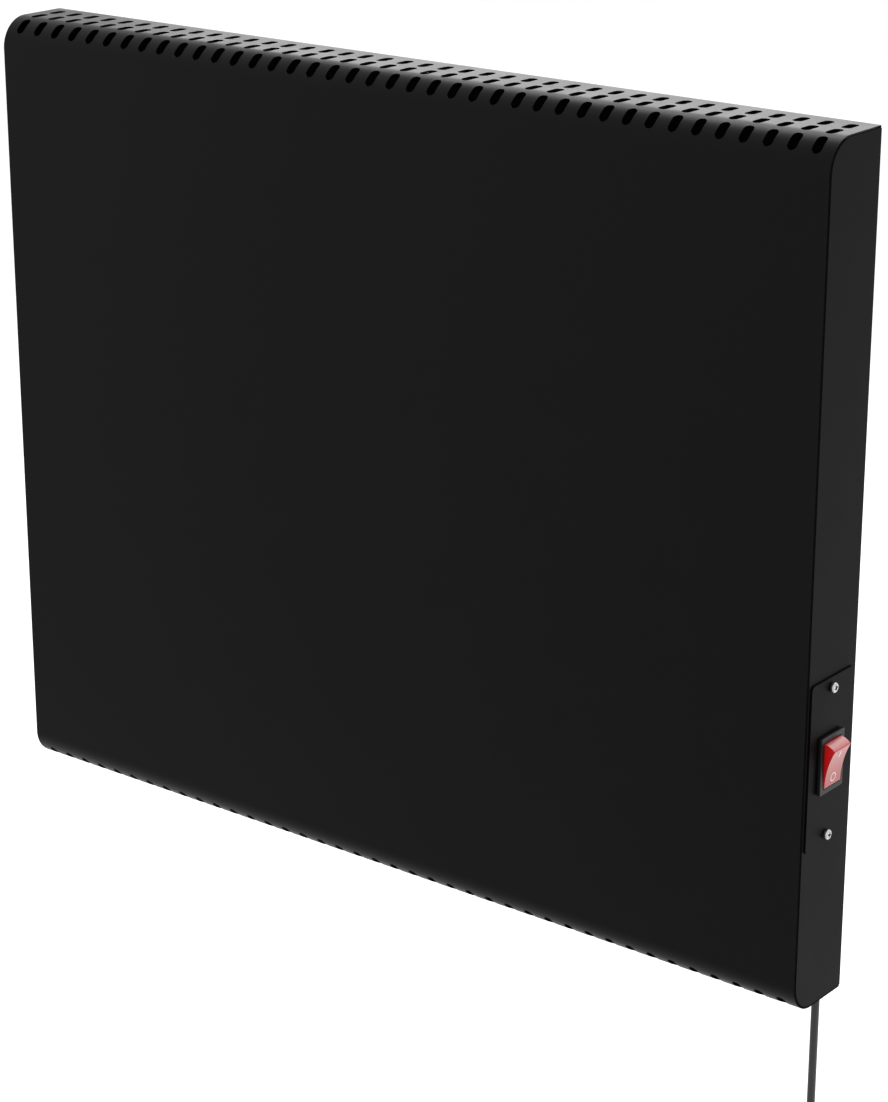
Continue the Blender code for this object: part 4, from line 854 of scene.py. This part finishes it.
# %% Bezel and body
BEZEL_IN = PLATE_IN + PLATE_SHEET + SEAM
BEZEL_OUT, BEZEL_ROUND = BEZEL_IN + BEZEL_RISE, 0.0004
POCKET_WIDE, POCKET_TALL = ROCKER_WIDE + 2 * SEAM, 2 * (ROCKER_R + SEAM)


def switch_ring(x, wide, tall, corner):
    return [(x, SWITCH_Y + u, SWITCH_Z + v) for u, v in rounded_box(wide, tall, corner, 5)]


sections = [
    (POCKET_FLOOR, POCKET_WIDE, POCKET_TALL, 0.0004),
    (BEZEL_OUT - 0.00035, POCKET_WIDE, POCKET_TALL, 0.0004),
    (BEZEL_OUT - 0.00010, POCKET_WIDE + 0.0001, POCKET_TALL + 0.0001, 0.00045),
    (BEZEL_OUT, POCKET_WIDE + 0.0004, POCKET_TALL + 0.0004, 0.0006),
]
for a in (math.pi / 2 * k / 4 for k in range(5)):
    less, back = BEZEL_ROUND * (1 - math.sin(a)), BEZEL_ROUND * (1 - math.cos(a))
    sections.append((BEZEL_OUT - back, BEZEL_WIDE - 2 * less, BEZEL_TALL - 2 * less, 0.0009 - less))
sections += [
    (BEZEL_IN, BEZEL_WIDE, BEZEL_TALL, 0.0009),
    (BEZEL_IN, BODY_WIDE, BODY_TALL, 0.0004),
    (BEZEL_IN - 0.0205, BODY_WIDE, BODY_TALL, 0.0004),
    (BEZEL_IN - 0.021, BODY_WIDE - 0.001, BODY_TALL - 0.001, 0.0004),
]
housing_mesh = loft("bezel_moulding", [switch_ring(*row) for row in sections])
housing = new_object("bezel_moulding", housing_mesh, BEZEL_PLASTIC)
housing = settle(housing, 40, even=True)
print("bezel and body:", count(housing), "triangles")
hang(housing, "black_plastic", "switch_housing")

# %% [markdown]
# The rocker is a key with one hollow face. Its outline is drawn once, seen from the side: the hollow
# face is one shallow arc, and each end is an arc about the pivot, so that it clears the bezel at
# every angle. The outline is extruded and its edges are softened. The two sides take a copy of the
# red that is lighter and less glossy, painted light for the light that falls on them, while the
# hollow face and the ends carry the gloss that mirrors the room.

# %% The rocker
TIP_ALONG = math.sqrt(ROCKER_R**2 - ROCKER_TIP**2)
FACE_R = (TIP_ALONG**2 + ROCKER_SAG**2) / (2 * ROCKER_SAG)
FACE_CENTRE = ROCKER_TIP - ROCKER_SAG + FACE_R
PRESSED = Matrix.Translation((PIVOT_X, SWITCH_Y, SWITCH_Z)) @ Matrix.Rotation(ROCKER_TILT, 4, "Y")


def face_out(along):
    """How far out the hollow face lies at a distance along it from its middle."""
    return FACE_CENTRE - math.sqrt(FACE_R**2 - along**2)


tip = math.atan2(TIP_ALONG, ROCKER_TIP)
root = math.atan2(math.sqrt(ROCKER_R**2 - ROCKER_ROOT**2), -ROCKER_ROOT)
end = arc(0.0, 0.0, ROCKER_R, tip, root, 12)
face = [(face_out(v), v) for v in (TIP_ALONG * (k / 12 - 1) for k in range(24))]
outline = [*face, *end, *[(u, -v) for u, v in reversed(end)][:-1]]
key = flat_mesh("rocker_key", [outline], ROCKER_WIDE)
key.transform(PRESSED @ Matrix.Rotation(math.pi / 2, 4, "X"))
rocker = new_object("rocker_key", key, ROCKER_RED)
soften(rocker, 0.0003, 3)
rocker = settle(rocker, 40, even=True)
# The side faces get the painted-light copy of the red.
rocker.data.materials.append(ROCKER_SIDE_PAINTED_LIGHT)
for face in rocker.data.polygons:
    face.material_index = int(abs(face.normal.y) > 0.9)
print("rocker:", count(rocker), "triangles")
hang(rocker, "red_plastic", "rocker", body="rocker")

# %% [markdown]
# Its two marks are printed: a bar at the end that switches on, and a ring at the other. They lie on
# the hollow face, so each point of a flat mark is lifted to that face and a hair's breadth more.

# %% Marks on the rocker


def printed(name, loops):
    """A flat mark between two loops of (across, along) points, laid on the hollow face."""
    def fill(work):
        rows = []
        for lift in (0.00001, 0.00006):
            for loop in loops:
                rows.append([work.verts.new((face_out(v) + lift, w, v)) for w, v in loop])
        inner_low, outer_low, inner_high, outer_high = rows
        for one, two in ((inner_low, outer_low), (outer_low, outer_high), (outer_high, inner_high),
                         (inner_high, inner_low)):
            for i in range(len(one)):
                j = (i + 1) % len(one)
                work.faces.new((one[i], one[j], two[j], two[i]))
        bmesh.ops.recalc_face_normals(work, faces=work.faces)

    made = new_object(name, mesh_from(name, fill), MARK_WHITE)
    made.data.transform(PRESSED)
    hang(made, "red_plastic", body="rocker")


def oval(wide, tall, along, steps=32):
    turn = [2 * math.pi * k / steps for k in range(steps)]
    return [(wide * math.cos(a), along + tall * math.sin(a)) for a in turn]


printed("mark_ring", [oval(0.0021, 0.0021, -0.0074), oval(0.0026, 0.0026, -0.0074)])
BAR_ALONG = 0.0076
bar = [(u, v + BAR_ALONG) for u, v in rounded_box(0.0010, 0.0042, 0.0004, 3)]
thin = [(u * 0.02, (v - BAR_ALONG) * 0.8 + BAR_ALONG) for u, v in bar]
printed("mark_bar", [thin, bar])

# %% [markdown]
# ## Screws
# Two pan heads hold the cover plate and six hold the back. One screw is modelled, with its cross
# recess cut out of a turned head, and a node tree sets a copy on each point of a small mesh and
# turns it by its own amount, as screws stop where they will. The recess has a darker finish of its
# own, a painted shade, because little light reaches it.

# %% One pan head screw
HEAD_R, HEAD_H = 0.0030, 0.0024
RECESS_R, RECESS_LOW, RECESS_HIGH = 0.0023, 0.0003, 0.0021


def pan_head(long):
    dome = [(0.0, 1.0), (0.4, 0.985), (0.65, 0.95), (0.80, 0.89), (0.89, 0.82), (0.95, 0.73),
            (0.99, 0.63), (1.0, 0.55)]
    dome = [(HEAD_R * out, HEAD_H * high) for out, high in dome]
    body = [(HEAD_R, 0.0002), (HEAD_R - 0.0002, 0.0), (SCREW_R, 0.0), (SCREW_R, -long + SCREW_R),
            (0.0, -long)]
    made = new_object("screw_blank", turned_mesh("screw_blank", dome + body, 32), BRIGHT_SCREW)
    for turn in (0.0, math.pi / 2):
        wing = box_mesh("wing", (0.0044, 0.0013, 0.0022), (0.0, 0.0, HEAD_H + 0.0001))
        for point in wing.vertices:
            if point.co.z < HEAD_H:
                point.co.x *= 0.55
                point.co.y *= 0.6
        wing.transform(Matrix.Rotation(turn, 4, "Z"))
        subtract(made, wing)
    return settle(made, 30)


# %% The screws' node tree
tree, tin, tout, screw_keys = new_tree(
    "screws_on_points",
    [("Screw", "NodeSocketObject", None), ("Tilt", "NodeSocketVector", None),
     ("First Turn", "NodeSocketFloat", 0.5), ("Turn Step", "NodeSocketFloat", 0.9),
     ("Material", "NodeSocketMaterial", None)],
)
f = Fields(tree)
info = tree.nodes.new("GeometryNodeObjectInfo")
index = tree.nodes.new("GeometryNodeInputIndex")
stand = tree.nodes.new("GeometryNodeInstanceOnPoints")
own = tree.nodes.new("ShaderNodeCombineXYZ")
spin = tree.nodes.new("GeometryNodeRotateInstances")
tree.links.new(tin.outputs["Screw"], info.inputs["Object"])
tree.links.new(tin.outputs[0], stand.inputs["Points"])
tree.links.new(info.outputs["Geometry"], stand.inputs["Instance"])
tree.links.new(tin.outputs["Tilt"], stand.inputs["Rotation"])
amount = f("ADD", tin.outputs["First Turn"], f("MULTIPLY", index.outputs[0], tin.outputs["Turn Step"]))
tree.links.new(amount, own.inputs["Z"])
tree.links.new(stand.outputs[0], spin.inputs["Instances"])
tree.links.new(own.outputs[0], spin.inputs["Rotation"])
spin.inputs["Local Space"].default_value = True
end_tree(tree, tin, tout, spin.outputs[0])
screw_tree = tree
print("screw tree:", len(tree.nodes), "nodes")

# %% Screws in their places
BACK_OUT = SEAM + 0.0008
back_spots = [(x, BACK_OUT + SEAM, z) for z in (0.0065, 0.4935) for x in (-0.280, 0.0, 0.280)]
plate_spots = [(PLATE_IN + PLATE_SHEET + SEAM, SWITCH_Y, z) for z in PLATE_SCREW_Z]
places = ("left", "middle", "right")
back_nodes = ["back_screw_%s_%s" % (level, spot) for level in ("low", "high") for spot in places]
for name, spots, long, tilt, first, stands_for in (
    ("cover_screws", plate_spots, 0.009, (0.0, math.pi / 2, 0.0), 0.35,
     ["cover_screw_upper", "cover_screw_lower"]),
    ("back_screws", back_spots, 0.006, (-math.pi / 2, 0.0, 0.0), 0.2, back_nodes),
):
    screw = pan_head(long)
    points = bpy.data.meshes.new(name)
    points.from_pydata(spots, [], [])
    made = new_object(name, points)
    nodes = made.modifiers.new("screws", "NODES")
    nodes.node_group = screw_tree
    nodes[screw_keys["Screw"]] = screw
    nodes[screw_keys["Tilt"]] = tilt
    nodes[screw_keys["First Turn"]] = first
    nodes[screw_keys["Material"]] = BRIGHT_SCREW
    made = settle(made, 30)
    # Faces inside the cross recess get the painted shade.
    made.data.materials.append(SCREW_RECESS_PAINTED_SHADE)
    outward = Vector((1.0, 0.0, 0.0)) if tilt[1] else Vector((0.0, 1.0, 0.0))
    for face in made.data.polygons:
        spot = min((Vector(p) for p in spots), key=lambda p: (p - face.center).length)
        up = (face.center - spot).dot(outward)
        off_axis = (face.center - spot - up * outward).length
        if off_axis < RECESS_R and RECESS_LOW < up < RECESS_HIGH:
            face.material_index = 1
    bpy.data.objects.remove(screw, do_unlink=True)
    clear_tools()
    print(made.name, count(made), "triangles")
    hang(made, "zinc_plated_steel", *stands_for)

# %% [markdown]
# ## Cord
# The cord leaves the underside near the right end and falls straight. Its unseen length is put away
# in a hank of eight folds under one tie, with the plug below. It is one open spline from the bushing
# to the plug, because that is what a cord is. The runs draw together a little under the tie.

# %% The cord's route
CORD_R, CORD_X, CORD_Y = 0.0024, 0.289, -0.0074
FOLDS, HALF, STEP, WAIST = 8, 0.0253, 0.0054, 0.0045
HANK_TOP, RUN = -0.0885, 0.0957
EXIT_Z = -0.0071
HANK_X = CORD_X - HALF
HANK_Z = HANK_TOP - CORD_R - (HALF - STEP / 4) - RUN / 2
RUN_TOP, RUN_LOW = HANK_Z + RUN / 2, HANK_Z - RUN / 2
PLUG_TOP = RUN_LOW - HALF - CORD_R - 0.004


def hank_route():
    reach = [HALF - STEP / 2 * min(j, FOLDS - j) for j in range(FOLDS + 1)]
    route = []
    for j in range(FOLDS + 1):
        side = 1 if j % 2 == 0 else -1
        for t in (k / 10 for k in range(11)):
            level = float(j > FOLDS // 2)
            if j == FOLDS // 2:
                level = t * t * (3 - 2 * t)
            drawn = reach[j] - WAIST * math.sin(math.pi * t) ** 2
            z = RUN_TOP - t * RUN if side == 1 else RUN_LOW + t * RUN
            route.append((HANK_X + side * drawn, CORD_Y - level * STEP, z))
        if j < FOLDS:
            mean = (reach[j] + reach[j + 1]) / 2
            centre = HANK_X + side * (reach[j] - reach[j + 1]) / 2
            base = RUN_LOW if side == 1 else RUN_TOP
            level = float(j >= FOLDS // 2)
            for a in (math.pi * k / 12 for k in range(1, 12)):
                out, drop = side * mean * math.cos(a), side * mean * math.sin(a)
                route.append((centre + out, CORD_Y - level * STEP, base - drop))
    return route


fall = [(CORD_X, CORD_Y, EXIT_Z + (RUN_TOP - EXIT_Z) * k / 12) for k in range(12)]
tail = [(CORD_X, CORD_Y - STEP, RUN_LOW + (PLUG_TOP + SEAM - RUN_LOW) * k / 4) for k in range(1, 5)]
route = [at(*point) for point in fall + hank_route() + tail]
cord_long = sum((two - one).length for one, two in zip(route, route[1:]))
print("cord: %d points, %.3f m" % (len(route), cord_long))

# %% The cord itself
curve = bpy.data.curves.new("mains_cord", "CURVE")
curve.dimensions = "3D"
curve.bevel_depth = CORD_R
curve.bevel_resolution = 5
curve.use_fill_caps = True
spline = curve.splines.new("POLY")
spline.points.add(len(route) - 1)
for point, spot in zip(spline.points, route):
    point.co = (*spot, 1.0)
spline.use_smooth = True
cord = new_object("mains_cord", curve, CORD_SHEATH)
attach(cord, "heater")
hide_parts("cord_run", "cord_hank", "cord_tail")

# %% [markdown]
# The bushing that grips the cord and the plug are turned mouldings; the tie round the hank keeps its solid.
# The plug's sleeve has rings, so that it bends without a kink.

# %% Bushing
bush_mesh = turned_mesh("bushing", [
    (0.0, 0.0038), (0.0043, 0.0038), (0.0047, 0.0036), (0.0049, 0.0030), (0.0049, 0.0013),
    (0.0040, 0.0013), (0.0040, -0.0003), (0.0052, -0.0003), (0.0054, -0.0005), (0.0054, -0.0020),
    (0.0052, -0.0026), (0.0046, -0.0028), (0.0035, -0.0028), (0.0034, -0.0034), (0.0031, -0.0052),
    (0.0028, -0.0066), (0.0026, -0.0068), (0.0, -0.0068),
], 40)
bush_mesh.transform(Matrix.Translation((CORD_X, CORD_Y, 0.0)))
bushing = settle(new_object("cord_grip", bush_mesh, BLACK_PLASTIC), 40)
hang(bushing, "black_plastic", "cord_bushing")

# %% Plug
profile = [(0.0, 0.0), (CORD_R + 0.0007, 0.0), (CORD_R + 0.0009, -0.0003)]
for k in range(6):
    z = -0.0012 - 0.0030 * k
    r = CORD_R + 0.0010 + 0.0015 * k / 6
    profile += [(r, z), (r, z - 0.0014), (r - 0.0006, z - 0.0016), (r - 0.0006, z - 0.0028)]
profile += [(0.0050, -0.0200), (0.0074, -0.0212), (0.0092, -0.0232), (0.0108, -0.0256), (0.0118, -0.0285),
            (0.0120, -0.0320), (0.0120, -0.0345), (0.0126, -0.0368), (0.0150, -0.0388), (0.0174, -0.0398),
            (0.0182, -0.0406), (0.0185, -0.0420), (0.0185, -0.0538), (0.0182, -0.0546), (0.0175, -0.0550),
            (0.0, -0.0550)]
plug_mesh = turned_mesh("plug", profile, 64)
plug_mesh.transform(Matrix.Translation((CORD_X, CORD_Y - STEP, PLUG_TOP)))
plug = settle(new_object("mains_plug", plug_mesh, BLACK_PLASTIC), 35)
hang(plug, "black_plastic", "plug_body")
print("plug:", count(plug), "triangles")
